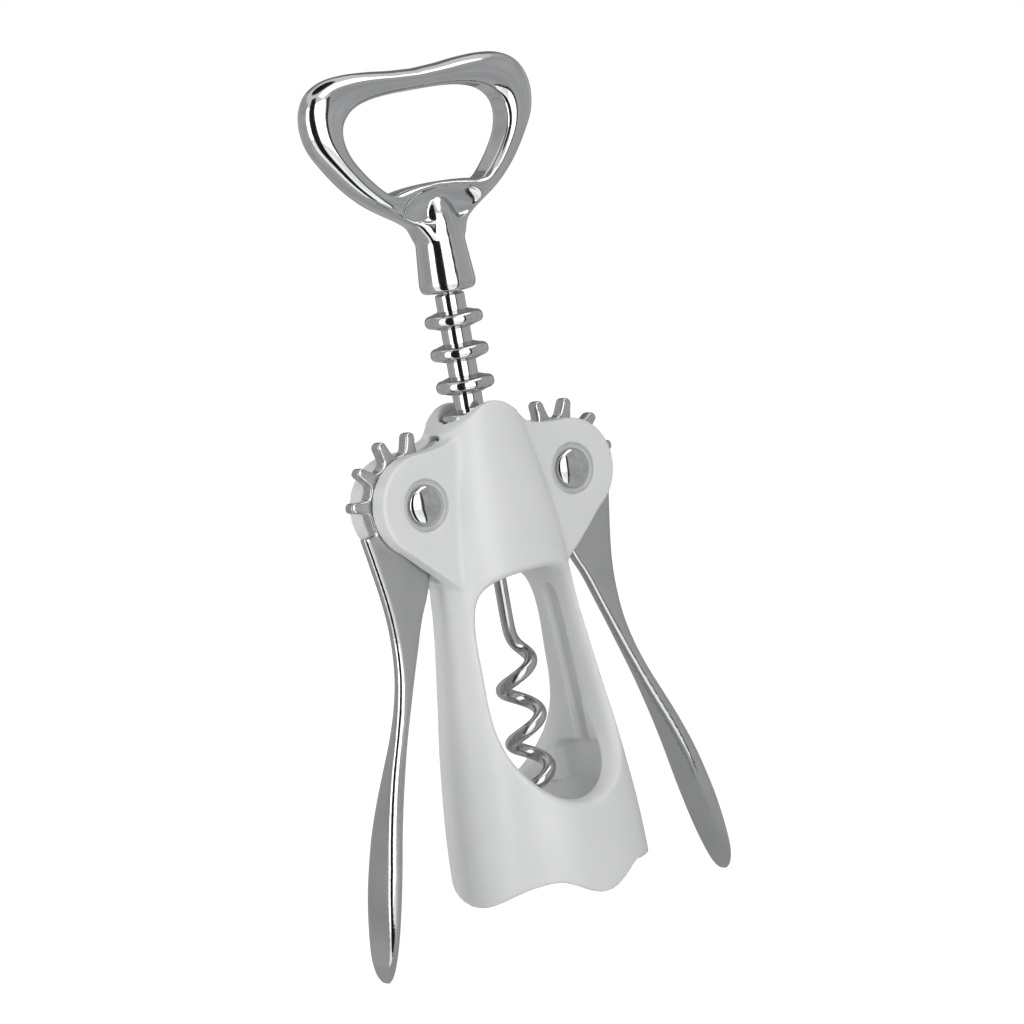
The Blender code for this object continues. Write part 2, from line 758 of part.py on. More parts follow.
def rack_profile():
    """Outer side of the rack from top to bottom, then back up its bore."""
    profile = [(CORE_RADIUS - RACK_END_CHAMFER / 2, RACK_TOP_Z)]
    profile.append((CORE_RADIUS, RACK_TOP_Z - RACK_END_CHAMFER / 2))
    half = RING_THICKNESS / 2
    for index in range(RING_COUNT):
        middle = TOP_RING_Z - RING_PITCH * index
        profile.append((CORE_RADIUS, middle + half + ROOT_BLEND))
        for part in range(RING_EDGE_STEPS + 1):
            angle = math.pi / 2 * (1 - part / RING_EDGE_STEPS)
            out = RING_RADIUS - RING_EDGE + RING_EDGE * math.cos(angle)
            profile.append((out, middle + half - RING_EDGE + RING_EDGE * math.sin(angle)))
        for part in range(RING_EDGE_STEPS + 1):
            angle = -math.pi / 2 * part / RING_EDGE_STEPS
            out = RING_RADIUS - RING_EDGE + RING_EDGE * math.cos(angle)
            profile.append((out, middle - half + RING_EDGE + RING_EDGE * math.sin(angle)))
        profile.append((CORE_RADIUS, middle - half - ROOT_BLEND))
    profile.append((CORE_RADIUS, RACK_BOTTOM_Z + RACK_END_CHAMFER))
    profile.append((CORE_RADIUS - RACK_END_CHAMFER, RACK_BOTTOM_Z))
    profile.append((WIRE_RADIUS + GAP, RACK_BOTTOM_Z))
    profile.append((WIRE_RADIUS + GAP, RACK_TOP_Z))
    return profile


def build_rack(parts, material, axis):
    rack = turned("rack", rack_profile(), parts, RACK_SEGMENTS, closed=True)
    return finish(rack, material, parent=axis)


def lifted(points):
    """Points of radius or width and height, raised from the rack's top to the pivots' level."""
    return [(point[0], RACK_TOP_Z + point[1]) for point in points]


def scoop_cutter(face, collection):
    """The hollow in the front or back of the web between the lip and the shank's ridge."""
    mesh = bpy.data.meshes.new("cut_scoop")
    work = bmesh.new()
    bmesh.ops.create_uvsphere(
        work, u_segments=SCOOP_SEGMENTS, v_segments=SCOOP_RINGS, radius=1.0
    )
    size = (SCOOP_HALF_X, SCOOP_HALF_Y, SCOOP_HALF_Z)
    bmesh.ops.scale(work, verts=work.verts, vec=size)
    depth = face * (HANDLE_FLAT + HANDLE_ROUND)
    bmesh.ops.translate(work, verts=work.verts, vec=(0.0, depth, RACK_TOP_Z + SCOOP_Z))
    work.to_mesh(mesh)
    work.free()
    return as_cutter(add_object("cut_scoop_%d" % (face + 1), mesh, collection))


def build_handle(parts, cutters, material, axis):
    """Loop of a rounded bar with a bottle-cap lip in its hole, on a tapered round shank."""
    outer = mirrored_loop(lifted(smooth_path(HANDLE_OUTER, HANDLE_STEPS)))
    hole_half = smooth_path(HANDLE_HOLE, HANDLE_STEPS) + smooth_path(HANDLE_LIP, 2)
    hole = mirrored_loop(lifted(hole_half))
    handle = outline_solid(
        "handle", [outer, hole], HANDLE_FLAT, parts, HANDLE_ROUND, HANDLE_ROUND_STEPS
    )
    for face in (-1, 1):
        scoop = scoop_cutter(face, cutters)
        scoop.parent = axis
        boolean(handle, scoop, "DIFFERENCE")
    profile = lifted([(0.0, SHANK[0][1])] + list(SHANK) + [(0.0, SHANK[-1][1])])
    shank = as_cutter(turned("handle_shank", profile, cutters))
    shank.parent = axis
    boolean(handle, shank, "UNION")
    bore = cylinder(
        "cut_handle_bore", WIRE_RADIUS + GAP, RACK_TOP_Z, RACK_TOP_Z + SHANK_BORE_DEPTH, cutters,
        "Z", SMALL_SEGMENTS
    )
    bore.parent = axis
    boolean(handle, as_cutter(bore), "DIFFERENCE")
    return finish(handle, material, parent=axis)


def worm_points():
    """The wire's centre line: straight up the axis, a bend out to the helix, then the helix."""
    points = []
    for index in range(WORM_STRAIGHT_STEPS + 1):
        height = WORM_TOP_Z + (WORM_STRAIGHT_Z - WORM_TOP_Z) * index / WORM_STRAIGHT_STEPS
        points.append((0.0, 0.0, height, 1.0))
    bend = WORM_STRAIGHT_Z - WORM_RAMP_Z
    drop = HELIX_PITCH / WORM_STEPS_PER_TURN
    count = math.ceil((WORM_STRAIGHT_Z - WORM_TIP_Z) / drop)
    for index in range(1, count + 1):
        height = WORM_STRAIGHT_Z - (WORM_STRAIGHT_Z - WORM_TIP_Z) * index / count
        ramp = min(1.0, (WORM_STRAIGHT_Z - height) / bend)
        radius = HELIX_RADIUS * ramp * ramp * (3 - 2 * ramp)
        wound = min(height, WORM_RAMP_Z + bend * (1 - ramp ** WORM_TWIST_POWER) / WORM_TWIST_POWER)
        turns = (wound - HELIX_PHASE_Z) / HELIX_PITCH
        angle = math.radians(HELIX_PHASE_DEG) + 2 * math.pi * turns
        taper = min(1.0, WORM_POINT_SHARE + (height - WORM_TIP_Z) / WORM_POINT_LENGTH)
        points.append((radius * math.cos(angle), radius * math.sin(angle), height, taper))
    return points


def build_worm(parts, material, axis):
    points = worm_points()
    curve = bpy.data.curves.new("worm", "CURVE")
    curve.dimensions = "3D"
    curve.bevel_depth = WIRE_RADIUS
    curve.bevel_resolution = 2
    curve.use_fill_caps = True
    spline = curve.splines.new("POLY")
    spline.points.add(len(points) - 1)
    for index, (x, y, z, taper) in enumerate(points):
        spline.points[index].co = (x, y, z, 1.0)
        spline.points[index].radius = taper
    item = add_object("worm", curve, parts)
    return finish(baked(item, parts), material, parent=axis)


def build_pin(name, side, parts, material):
    """Plain steel pin through both plates and the lever's hub."""
    profile = (
        (0.0, PIN_HALF),
        (PIN_RADIUS - PIN_CHAMFER, PIN_HALF),
        (PIN_RADIUS, PIN_HALF - PIN_CHAMFER),
        (PIN_RADIUS, -PIN_HALF + PIN_CHAMFER),
        (PIN_RADIUS - PIN_CHAMFER, -PIN_HALF),
        (0.0, -PIN_HALF),
    )
    pin = turned(name, profile, parts, SMALL_SEGMENTS)
    pin.rotation_euler = (math.pi / 2, 0.0, 0.0)
    return finish(pin, material, (side * PIVOT_X, 0.0, PIVOT_Z))


def cap_profile():
    """Dome over a short rim, with the pin's blind socket in its flat underside."""
    profile = []
    for part in range(CAP_ARC_STEPS + 1):
        angle = math.pi / 2 * (1 - part / CAP_ARC_STEPS)
        height = CAP_RIM + (CAP_HEIGHT - CAP_RIM) * math.sin(angle)
        profile.append((CAP_RADIUS * math.cos(angle), height))
    profile[0] = (0.0, CAP_HEIGHT)
    profile.append((CAP_RADIUS - CAP_RIM / 2, 0.0))
    profile.append((PIN_RADIUS + GAP, 0.0))
    profile.append((PIN_RADIUS + GAP, CAP_SOCKET_DEPTH))
    profile.append((0.0, CAP_SOCKET_DEPTH))
    return profile


def build_cap(name, side, face, parts, material):
    cap = turned(name, cap_profile(), parts, CAP_SEGMENTS)
    cap.rotation_euler = (-face * math.pi / 2, 0.0, 0.0)
    return finish(cap, material, (side * PIVOT_X, face * (RECESS_FLOOR + GAP), PIVOT_Z))


def main():
    clear_scene()
    parts = new_collection("wing_corkscrew")
    cutters = new_collection("cutters")
    plastic = new_material("white_plastic", WHITE_PLASTIC, 0.0, PLASTIC_ROUGHNESS)
    chrome = new_material("chrome_plate", CHROME, 1.0, CHROME_ROUGHNESS)
    steel = new_material("steel_wire", STEEL, 1.0, STEEL_ROUGHNESS)
    axis = bpy.data.objects.new("slide_axis", None)
    axis.location = (0.0, 0.0, PIVOT_Z)
    parts.objects.link(axis)
    build_body(parts, cutters, plastic)
    build_rack(parts, chrome, axis)
    build_handle(parts, cutters, chrome, axis)
    build_worm(parts, steel, axis)
    for side, word in ((-1, "left"), (1, "right")):
        build_lever("lever_" + word, side, parts, cutters, chrome)
        build_pin("pivot_pin_" + word, side, parts, steel)
        for face, place in ((-1, "front"), (1, "back")):
            build_cap("cap_%s_%s" % (word, place), side, face, parts, chrome)


main()
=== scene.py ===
"""Looks of the wing corkscrew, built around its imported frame.

Each piece repeats the part's own shape with finer steps and rounder edges. Units are metres.
+Z runs up the tool's axis and the front faces -Y.
"""

import json
import math

import bmesh
import bpy
import numpy as np
from mathutils import Matrix, Vector

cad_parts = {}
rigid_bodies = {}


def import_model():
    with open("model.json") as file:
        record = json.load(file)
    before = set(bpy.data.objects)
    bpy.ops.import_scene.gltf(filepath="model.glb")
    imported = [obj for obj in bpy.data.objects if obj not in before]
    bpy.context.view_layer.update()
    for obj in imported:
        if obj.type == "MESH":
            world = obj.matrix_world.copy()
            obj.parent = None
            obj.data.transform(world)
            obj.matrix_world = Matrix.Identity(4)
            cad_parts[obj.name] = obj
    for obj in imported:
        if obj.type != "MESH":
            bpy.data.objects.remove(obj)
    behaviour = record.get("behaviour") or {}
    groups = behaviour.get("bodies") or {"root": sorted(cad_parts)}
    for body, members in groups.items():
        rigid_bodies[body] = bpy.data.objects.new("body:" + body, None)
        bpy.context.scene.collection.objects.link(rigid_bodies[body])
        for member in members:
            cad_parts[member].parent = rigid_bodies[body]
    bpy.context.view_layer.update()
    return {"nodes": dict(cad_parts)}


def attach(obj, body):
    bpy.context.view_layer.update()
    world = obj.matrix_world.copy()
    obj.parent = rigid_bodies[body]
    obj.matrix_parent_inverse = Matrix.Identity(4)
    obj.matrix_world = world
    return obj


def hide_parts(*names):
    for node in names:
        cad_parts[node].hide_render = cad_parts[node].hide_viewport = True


# Overall layout
LEVER_LENGTH = 0.0949
PIVOT_X = 0.01925
PIVOT_Z = 0.0668
GAP = 0.0003

# Rack and pinion
RING_PITCH = 0.0069
RING_COUNT = 7
RING_RADIUS = 0.00615
RING_THICKNESS = 0.0027
RING_EDGE = 0.0012
CORE_RADIUS = 0.0031
ROOT_BLEND = 0.0006
RING_EDGE_STEPS = 6
TOP_RING_Z = 0.03575
RACK_TOP_Z = 0.0413
RACK_BOTTOM_Z = -0.0094
RACK_END_CHAMFER = 0.0008
TEETH_PER_TURN = 12
TOOTH_COUNT = 7
FIRST_TOOTH_DEG = 9.4
GEAR_ROOT = 0.0109
GEAR_TIP = 0.01525
GEAR_HALF = 0.00155
TOOTH_FLANK = ((0.0109, 0.00205), (0.0114, 0.0015), (0.0129, 0.00125), (0.0144, 0.0011))
TOOTH_TIP_STEPS = 12
TOOTH_CROWN = (
    (0.0110, 0.0019),
    (0.0124, 0.0016),
    (0.0138, 0.0016),
    (0.0149, 0.0015),
    (0.0155, 0.0009),
)

# Lever arm stations as shares of its length: outer x, outer z, inner x, inner z, half width in y
ARM_SHARES = (
    (0.1391, -0.0464, -0.0211, -0.0263, 0.0150),
    (0.1296, -0.0948, -0.0379, -0.0948, 0.0150),
    (0.1201, -0.1475, -0.0221, -0.1454, 0.0150),
    (0.1128, -0.1949, -0.0032, -0.1970, 0.0150),
    (0.1080, -0.2476, 0.0232, -0.2487, 0.0150),
    (0.1085, -0.3077, 0.0485, -0.3140, 0.0153),
    (0.1159, -0.3688, 0.0727, -0.3772, 0.0163),
    (0.1328, -0.4320, 0.0969, -0.4415, 0.0184),
    (0.1549, -0.4932, 0.1212, -0.5026, 0.0216),
    (0.1802, -0.5522, 0.1433, -0.5616, 0.0279),
    (0.2055, -0.6164, 0.1675, -0.6259, 0.0364),
    (0.2287, -0.6849, 0.1897, -0.6923, 0.0443),
    (0.2466, -0.7503, 0.2076, -0.7576, 0.0490),
    (0.2624, -0.8166, 0.2255, -0.8240, 0.0506),
    (0.2740, -0.8851, 0.2445, -0.8915, 0.0485),
    (0.2824, -0.9431, 0.2608, -0.9473, 0.0415),
    (0.2835, -0.9779, 0.2698, -0.9800, 0.0300),
    (0.2808, -0.9947, 0.2750, -0.9953, 0.0170),
    (0.2787, -1.0000, 0.2771, -1.0000, 0.0060),
)
ARM_EDGE = 0.0020
ARM_EDGE_STEPS = 6
ARM_STEPS = 5
ARM_WIDTH_SHARE = 0.45
ARM_DEPTH_SHARE = 0.90

# Moulded body, as stations of height, half width in x and half depth in y
BODY_STATIONS = (
    (0.0210, 0.0089, 0.0082),
    (0.0120, 0.0106, 0.0094),
    (0.0000, 0.0130, 0.0109),
    (-0.0120, 0.0146, 0.0121),
    (-0.0180, 0.0148, 0.0127),
    (-0.0240, 0.0151, 0.0134),
    (-0.0300, 0.0156, 0.0143),
    (-0.0360, 0.0162, 0.0152),
    (-0.0440, 0.0170, 0.0165),
    (-0.0520, 0.0178, 0.0177),
    (-0.0610, 0.0187, 0.0187),
    (-0.0700, 0.0195, 0.0195),
    (-0.0780, 0.0199, 0.0199),
    (-0.0860, 0.0201, 0.0201),
)
CAVITY_STATIONS = (
    (-0.0120, 0.0070, 0.0070),
    (-0.0150, 0.0088, 0.0084),
    (-0.0190, 0.0108, 0.0098),
    (-0.0250, 0.0121, 0.0110),
    (-0.0340, 0.0129, 0.0120),
    (-0.0450, 0.0135, 0.0131),
    (-0.0560, 0.0141, 0.0140),
    (-0.0690, 0.0145, 0.0145),
)
BODY_POWER = 2.4
CAVITY_POWER = 2.2
BODY_SEGMENTS = 96
BODY_STEPS = 3
BODY_SAMPLES = 4
BODY_REACH_SHARE = 0.97
BORE_RADIUS = 0.0067
BORE_TOP_Z = 0.0240
BORE_BOTTOM_Z = -0.0140
SOCKET_TOP_RADIUS = 0.0161
SOCKET_MOUTH_RADIUS = 0.0164
SOCKET_MOUTH_Z = -0.0900

# Head plates that carry the pivots
PLATE_HALF = 0.0065
PLATE_EDGE = 0.0028
PLATE_EDGE_SEGMENTS = 6
PLATE_EDGE_DEG = 60.0
LOBE_RADIUS = 0.0107
LOBE_LOWER_DEG = -58.5
LOBE_UPPER_DEG = 92.0
LOBE_STEP_DEG = 5.0
PLATE_LOWER = ((0.0195, -0.0140), (0.0160, -0.0171), (0.0126, -0.0204), (0.0060, -0.0186))
PLATE_UPPER = ((0.0150, 0.0109), (0.0120, 0.0114), (0.0090, 0.0126))
CROWN = (
    (0.0000, 0.0182),
    (0.0025, 0.0177),
    (0.0050, 0.0163),
    (0.0075, 0.0146),
    (0.0100, 0.0132),
    (0.0130, 0.0122),
    (0.0180, 0.0118),
)
CROWN_SIDE = 0.0300
CROWN_LID_Z = 0.0300
SLOT_HALF = 0.00185
SLOT_RADIUS = 0.0158
SLOT_SIDE_X = 0.0155
SLOT_FLOOR_Z = -0.0240
SLOT_OUTER_X = 0.0420
SLOT_STEP_DEG = 5.0
RECESS_RADIUS = 0.0054
RECESS_FLOOR = 0.0053
RECESS_OUTER = 0.0090

# Windows in the front and back of the bell: the half outline, top to bottom
WINDOW = (
    (0.0000, -0.0180),
    (0.0045, -0.0182),
    (0.0085, -0.0191),
    (0.0108, -0.0211),
    (0.0119, -0.0248),
    (0.0126, -0.0305),
    (0.0131, -0.0375),
    (0.0136, -0.0445),
    (0.0136, -0.0505),
    (0.0126, -0.0560),
    (0.0102, -0.0607),
    (0.0069, -0.0640),
    (0.0034, -0.0658),
    (0.0000, -0.0664),
)
WINDOW_STEPS = 3
WINDOW_LIP = 0.0016
WINDOW_LIP_DEPTH = 0.0030
WINDOW_LIP_STEPS = 5
WINDOW_REACH = 0.0300

# Inside of the legs: an upright groove each, and a pocket with round corners above the ledge
GROOVE_HALF = 0.0023
GROOVE_STEP_DEG = 8.0
GROOVE_REACH = 0.0163
GROOVE_LEAN_DEG = 3.4
GROOVE_TOP_Z = -0.0240
GROOVE_BOTTOM_Z = -0.0600
POCKET_HALF = 0.0087
POCKET_CORNER = 0.0031
POCKET_REACH = 0.0152
POCKET_TOP_Z = -0.0580

# Scalloped rim
SCALLOP_DEG = 34.0
SCALLOP_HEIGHT = 0.0044
SCALLOP_DROP = 0.0060
SCALLOP_INNER = 0.0010
SCALLOP_OUTER = 0.0300

# Pivot pins, which stay as the part has them, and their domed caps
PIN_RADIUS = 0.0020
CAP_RADIUS = 0.0043
CAP_RIM = 0.0005
CAP_HEIGHT = 0.0022
CAP_SOCKET_DEPTH = 0.0012
CAP_ARC_STEPS = 12
CAP_SEGMENTS = 72

# Loop handle, half outlines about the axis, heights above the rack's top, top to bottom
HANDLE_OUTER = (
    (0.0000, 0.0471),
    (0.0060, 0.0474),
    (0.0115, 0.0479),
    (0.0172, 0.0481),
    (0.0222, 0.0475),
    (0.0262, 0.0455),
    (0.0284, 0.0421),
    (0.0289, 0.0382),
    (0.0279, 0.0340),
    (0.0252, 0.0298),
    (0.0211, 0.0248),
    (0.0167, 0.0209),
    (0.0122, 0.0180),
    (0.0087, 0.0160),
    (0.0066, 0.0145),
    (0.0055, 0.0128),
    (0.0046, 0.0110),
    (0.0032, 0.0097),
)
HANDLE_HOLE = (
    (0.0000, 0.0427),
    (0.0078, 0.0426),
    (0.0134, 0.0420),
    (0.0176, 0.0406),
    (0.0202, 0.0380),
    (0.0208, 0.0349),
    (0.0199, 0.0315),
    (0.0177, 0.0281),
    (0.0152, 0.0252),
    (0.0132, 0.0233),
    (0.0120, 0.0226),
)
HANDLE_LIP = ((0.0102, 0.0225), (0.0076, 0.0229), (0.0040, 0.0232), (0.0000, 0.0233))
HANDLE_STEPS = 6
HANDLE_FLAT = 0.0020
HANDLE_ROUND = 0.0020
HANDLE_ROUND_STEPS = 6
LIMB_WIDTH = 0.0105
LIMB_RIDGE_SHARE = 0.57
LIMB_OUTER_SHARE = 0.125
LIMB_HOLE_SHARE = 0.5
LIMB_FADE_Z = (0.0125, 0.0175)
SHANK = (
    (0.0010, 0.0224),
    (0.0020, 0.0208),
    (0.0030, 0.0190),
    (0.0039, 0.0173),
    (0.0045, 0.0158),
    (0.0049, 0.0141),
    (0.0051, 0.0123),
    (0.0055, 0.0077),
    (0.0060, 0.0021),
    (0.0057, 0.0008),
    (0.0049, 0.0003),
)
SHANK_BORE_DEPTH = 0.0117

# Hollow in each face of the web under the lip, an egg shape centred in front of and behind it
SCOOP_Z = 0.0186
SCOOP_HALF_X = 0.0100
SCOOP_HALF_Y = 0.0022
SCOOP_HALF_Z = 0.0038
SCOOP_SEGMENTS = 64
SCOOP_RINGS = 32

# Worm: the grip is how far it reaches up into the handle's shank
WIRE_RADIUS = 0.0014
HELIX_RADIUS = 0.00355
HELIX_PITCH = 0.0116
HELIX_PHASE_DEG = -37.2
HELIX_PHASE_Z = -0.0492
WORM_GRIP = 0.0107
WORM_TOP_Z = RACK_TOP_Z + WORM_GRIP
WORM_STRAIGHT_Z = -0.0275
WORM_RAMP_Z = -0.0372
WORM_TWIST_POWER = 4
WORM_TIP_Z = -0.0690
WORM_POINT_LENGTH = 0.0060
WORM_POINT_SHARE = 0.14
WORM_STEPS_PER_TURN = 60
WORM_STRAIGHT_STEPS = 8
WIRE_ROUND_STEPS = 8

ROUND_SEGMENTS = 96
RACK_SEGMENTS = 96
SMALL_SEGMENTS = 48
MERGE = 0.00001
SHARP_DEG = 35.0

# Remeshed skins: the body's moulding, the handle's casting and the levers
SMOOTH_FACTOR = 0.5
SKIN_VOXEL = 0.00035
SKIN_SMOOTH_STEPS = 5
CREASE_STEPS = 70
CREASE_REACH = 0.0032
CREASE_TOP_Z = 0.0150
CREASE_BOTTOM_Z = -0.0200
RIM_TOP_Z = -0.0790
RIM_REACH = 0.0030
RIM_STEPS = 12
SKIN_FACES = 170000
CAST_VOXEL = 0.00024
CAST_SMOOTH_STEPS = 24
LEVER_VOXEL = 0.00026
LEVER_SMOOTH_STEPS = 6
TOOTH_SMOOTH_STEPS = 10

# Stage and camera
FLOOR_Z = PIVOT_Z - LEVER_LENGTH - GAP
FLOOR_SIZE = 6.0
BACKDROP_WHITE = 1.3
FLOOR_GLOW_SHARE = 0.72
CAMERA_YAW_DEG = 35.484
CAMERA_ELEVATION_DEG = 6.612
CAMERA_ROLL_DEG = 9.961
CAMERA_DISTANCE = 0.7948
CAMERA_PX_PER_MM = 4.773
CAMERA_RIGHT = -0.0050
CAMERA_UP = 0.006209
SENSOR = 36.0
IMAGE_SIZE = 1024
MM_PER_M = 1000
CAMERA_RANGE = (0.01, 20.0)

# Light on the object from the world, and soft boxes: name, azimuth from the front, distance,
# height over the floor, downward tilt, width, length and power
WORLD_LEVEL = 0.30
LAMPS = (
    ("key", -84.0, 0.50, 0.285, 0.0, 0.22, 0.55, 0.85),
    ("fill", -15.0, 0.50, 0.285, 0.0, 0.36, 0.55, 1.16),
    ("overhead", 30.0, 0.28, 0.62, 58.0, 0.50, 0.20, 0.60),
    ("back_left", 205.0, 0.60, 0.285, 0.0, 0.45, 0.55, 0.90),
    ("back_right", 130.0, 0.60, 0.285, 0.0, 0.45, 0.55, 0.80),
)

# Cards that glow and that only the metal sees, so that they paint reflections into it: the white
# ones painted highlights, the black, dark and gray ones painted darker reflections. Bent ones:
# name, start and end azimuth, where the foot starts and ends, height and shade. Level ones: name,
# place to the back, height over the floor, radius, shade
CARD_STEPS = 24
CARD_GRAIN = (5.0,)
CARD_STOPS = (0.35, 0.65)
CARD_DARKEST = 0.85
CARD_LIGHTEST = 1.15
CARDS = (
    ("white_card_left", -96.0, -71.0, 0.0, 0.44, GAP, 1.60),
    ("black_card_left", -71.0, -36.0, 0.0, 0.40, 0.80, 0.02),
    ("white_card_front", -36.0, 6.0, 0.0, 0.44, GAP, 1.60),
    ("black_card_right", 6.0, 14.0, 0.0, 0.40, 0.45, 0.02),
    ("gray_card_right", 14.0, 114.0, 0.0, 0.42, 0.60, 0.56),
    ("dark_card_back", 114.0, 174.0, 0.42, 0.42, 0.60, 0.26),
    ("gray_card_back", 114.0, 174.0, 0.0, 0.42, GAP, 0.56),
    ("gray_card_left", 174.0, 264.0, 0.0, 0.42, 0.60, 0.56),
)
LEVEL_CARDS = (
    ("gray_foot_card", 0.0, GAP, 0.06, 0.54),
    ("black_top_card", 0.04, 0.70, 0.20, 0.02),
)

# Materials: colour as noise, stops, dark and light; roughness as noise, least and most; bump as
# noise, strength and distance. A noise is its scale, detail, roughness and stretch, as needed.
METAL = 1.0
TINT_STOPS = (0.3, 0.7)
STREAKS = (400.0, 4.0, 0.6, (4.0, 4.0, 0.6))
WHITE_PLASTIC = (
    ((55.0,), TINT_STOPS, (0.70, 0.715, 0.71), (0.735, 0.745, 0.74)),
    ((320.0, 4.0), 0.30, 0.44),
    ((2200.0, 2.0), 0.05, 0.0002),
)
PLASTIC_IOR = 1.49
PLASTIC_GLOW = 0.12
PLASTIC_GLOW_COLOR = (1.0, 0.9, 0.8)
PLASTIC_GLOW_DEPTH = 0.0015
POLISHED_CHROME = (
    ((90.0,), TINT_STOPS, (0.49, 0.495, 0.50), (0.53, 0.535, 0.54)),
    ((500.0, 5.0), 0.05, 0.14),
    ((160.0, 1.0), 0.12, 0.0005),
)
LEVER_CHROME = (
    ((110.0,), TINT_STOPS, (0.43, 0.435, 0.435), (0.47, 0.475, 0.475)),
    ((600.0, 4.0), 0.07, 0.13),
    ((1500.0, 3.0), 0.06, 0.0002),
)
SATIN_ROUGH = ((900.0, 5.0), 0.36, 0.46)
SATIN_STOPS = (0.96, 0.995)
DRAWN_STEEL = (
    ((150.0,), TINT_STOPS, (0.44, 0.44, 0.44), (0.52, 0.52, 0.52)),
    (STREAKS, 0.14, 0.28),
    (STREAKS, 0.08, 0.0002),
)
FLOOR_TINT = ((2.0,), TINT_STOPS, (0.88, 0.88, 0.88), (0.90, 0.90, 0.90))
FLOOR_ROUGHNESS = 0.8
BLACK = (0.0, 0.0, 0.0)
WHITE = (1.0, 1.0, 1.0)

AXIS_PLACE = (0.0, 0.0, PIVOT_Z)


def new_collection(name):
    collection = bpy.data.collections.new(name)
    bpy.context.scene.collection.children.link(collection)
    return collection


def add_object(name, data, collection=None):
    item = bpy.data.objects.new(name, data)
    (collection or bpy.context.scene.collection).objects.link(item)
    return item


def poured(work, mesh):
    """Put a finished bmesh into a mesh and let go of it."""
    work.to_mesh(mesh)
    work.free()


def from_bmesh(name, work, collection=None):
    mesh = bpy.data.meshes.new(name)
    poured(work, mesh)
    return add_object(name, mesh, collection)


def settle(item, material, place=(0.0, 0.0, 0.0), creases=True):
    """Apply the piece's modifiers and its place, and give it smooth faces and its material."""
    item.location = place
    solid = baked(item, item.users_collection[0])
    solid.data.transform(solid.matrix_world)
    solid.matrix_world = Matrix.Identity(4)
    solid.data.materials.clear()
    solid.data.materials.append(material)
    solid.data.shade_smooth()
    if creases:
        solid.data.set_sharp_from_angle(angle=math.radians(SHARP_DEG))
    return solid


def boolean(item, other, operation="DIFFERENCE"):
    modifier = item.modifiers.new(other.name, "BOOLEAN")
    modifier.operation = operation
    modifier.solver = "EXACT"
    modifier.object = other


def baked(item, collection):
    """The evaluated object as a plain mesh object with its loose seams closed."""
    bpy.context.view_layer.update()
    graph = bpy.context.evaluated_depsgraph_get()
    mesh = bpy.data.meshes.new_from_object(item.evaluated_get(graph))
    work = bmesh.new()
    work.from_mesh(mesh)
    bmesh.ops.remove_doubles(work, verts=work.verts, dist=MERGE)
    bmesh.ops.recalc_face_normals(work, faces=work.faces)
    poured(work, mesh)
    name = item.name
    matrix = item.matrix_world.copy()
    bpy.data.objects.remove(item, do_unlink=True)
    solid = add_object(name, mesh, collection)
    solid.matrix_world = matrix
    return solid


def remeshed(item, voxel, collection):
    """The object baked and skinned again in voxels of a given size."""
    remesh = item.modifiers.new("remesh", "REMESH")
    remesh.mode = "VOXEL"
    remesh.voxel_size = voxel
    return baked(item, collection)


def soften(item, steps, group=None):
    """Smooth the object's surface, all over or by a vertex group's weights."""
    blend = item.modifiers.new(group.name if group else "all over", "SMOOTH")
    blend.factor = SMOOTH_FACTOR
    blend.iterations = steps
    if group:
        blend.vertex_group = group.name


def vertex_spots(item):
    """The places of an object's vertices, one row each."""
    spots = np.empty(len(item.data.vertices) * 3)
    item.data.vertices.foreach_get("co", spots)
    return spots.reshape(-1, 3)


def smooth_path(points, steps):
    """Points on a smooth curve through the given ones, with the same ends."""
    result = []
    last = len(points) - 1
    for index in range(last):
        before = Vector(points[max(index - 1, 0)])
        start = Vector(points[index])
        end = Vector(points[index + 1])
        after = Vector(points[min(index + 2, last)])
        for step in range(steps):
            t = step / steps
            bend = (2 * before - 5 * start + 4 * end - after) * t * t
            twist = (3 * start - before - 3 * end + after) * t * t * t
            result.append(start + ((end - before) * t + bend + twist) / 2)
    result.append(Vector(points[last]))
    return result


def lifted(points, level=RACK_TOP_Z):
    """Points of radius or width and height, raised to a level."""
    return [(point[0], level + point[1]) for point in points]


def mirrored_loop(half):
    """Close a half outline that starts and ends on the axis with its mirror image."""
    right = [(point[0], point[1]) for point in half]
    left = [(-x, z) for x, z in reversed(right) if x > MERGE]
    return right + left


def arc(centre_x, centre_z, radius, start, end, step):
    count = max(2, math.ceil(abs(end - start) / step))
    points = []
    for index in range(count + 1):
        angle = math.radians(start + (end - start) * index / count)
        points.append((centre_x + radius * math.cos(angle), centre_z + radius * math.sin(angle)))
    return points


def outline_solid(name, loops, half, collection, edge=0.0, edge_steps=0):
    """Flat outlines in the XZ plane given a thickness, the edges rounded if edge is set."""
    curve = bpy.data.curves.new(name, "CURVE")
    curve.dimensions = "2D"
    curve.fill_mode = "BOTH"
    curve.extrude = half
    curve.bevel_depth = edge
    curve.bevel_resolution = edge_steps
    curve.offset = -edge
    for loop in loops:
        spline = curve.splines.new("POLY")
        spline.points.add(len(loop) - 1)
        for index, point in enumerate(loop):
            spline.points[index].co = (point[0], point[1], 0.0, 1.0)
        spline.use_cyclic_u = True
    item = add_object(name, curve, collection)
    item.rotation_euler = (math.pi / 2, 0.0, 0.0)
    solid = baked(item, collection)
    solid.data.transform(solid.matrix_world)
    solid.matrix_world = Matrix.Identity(4)
    return solid


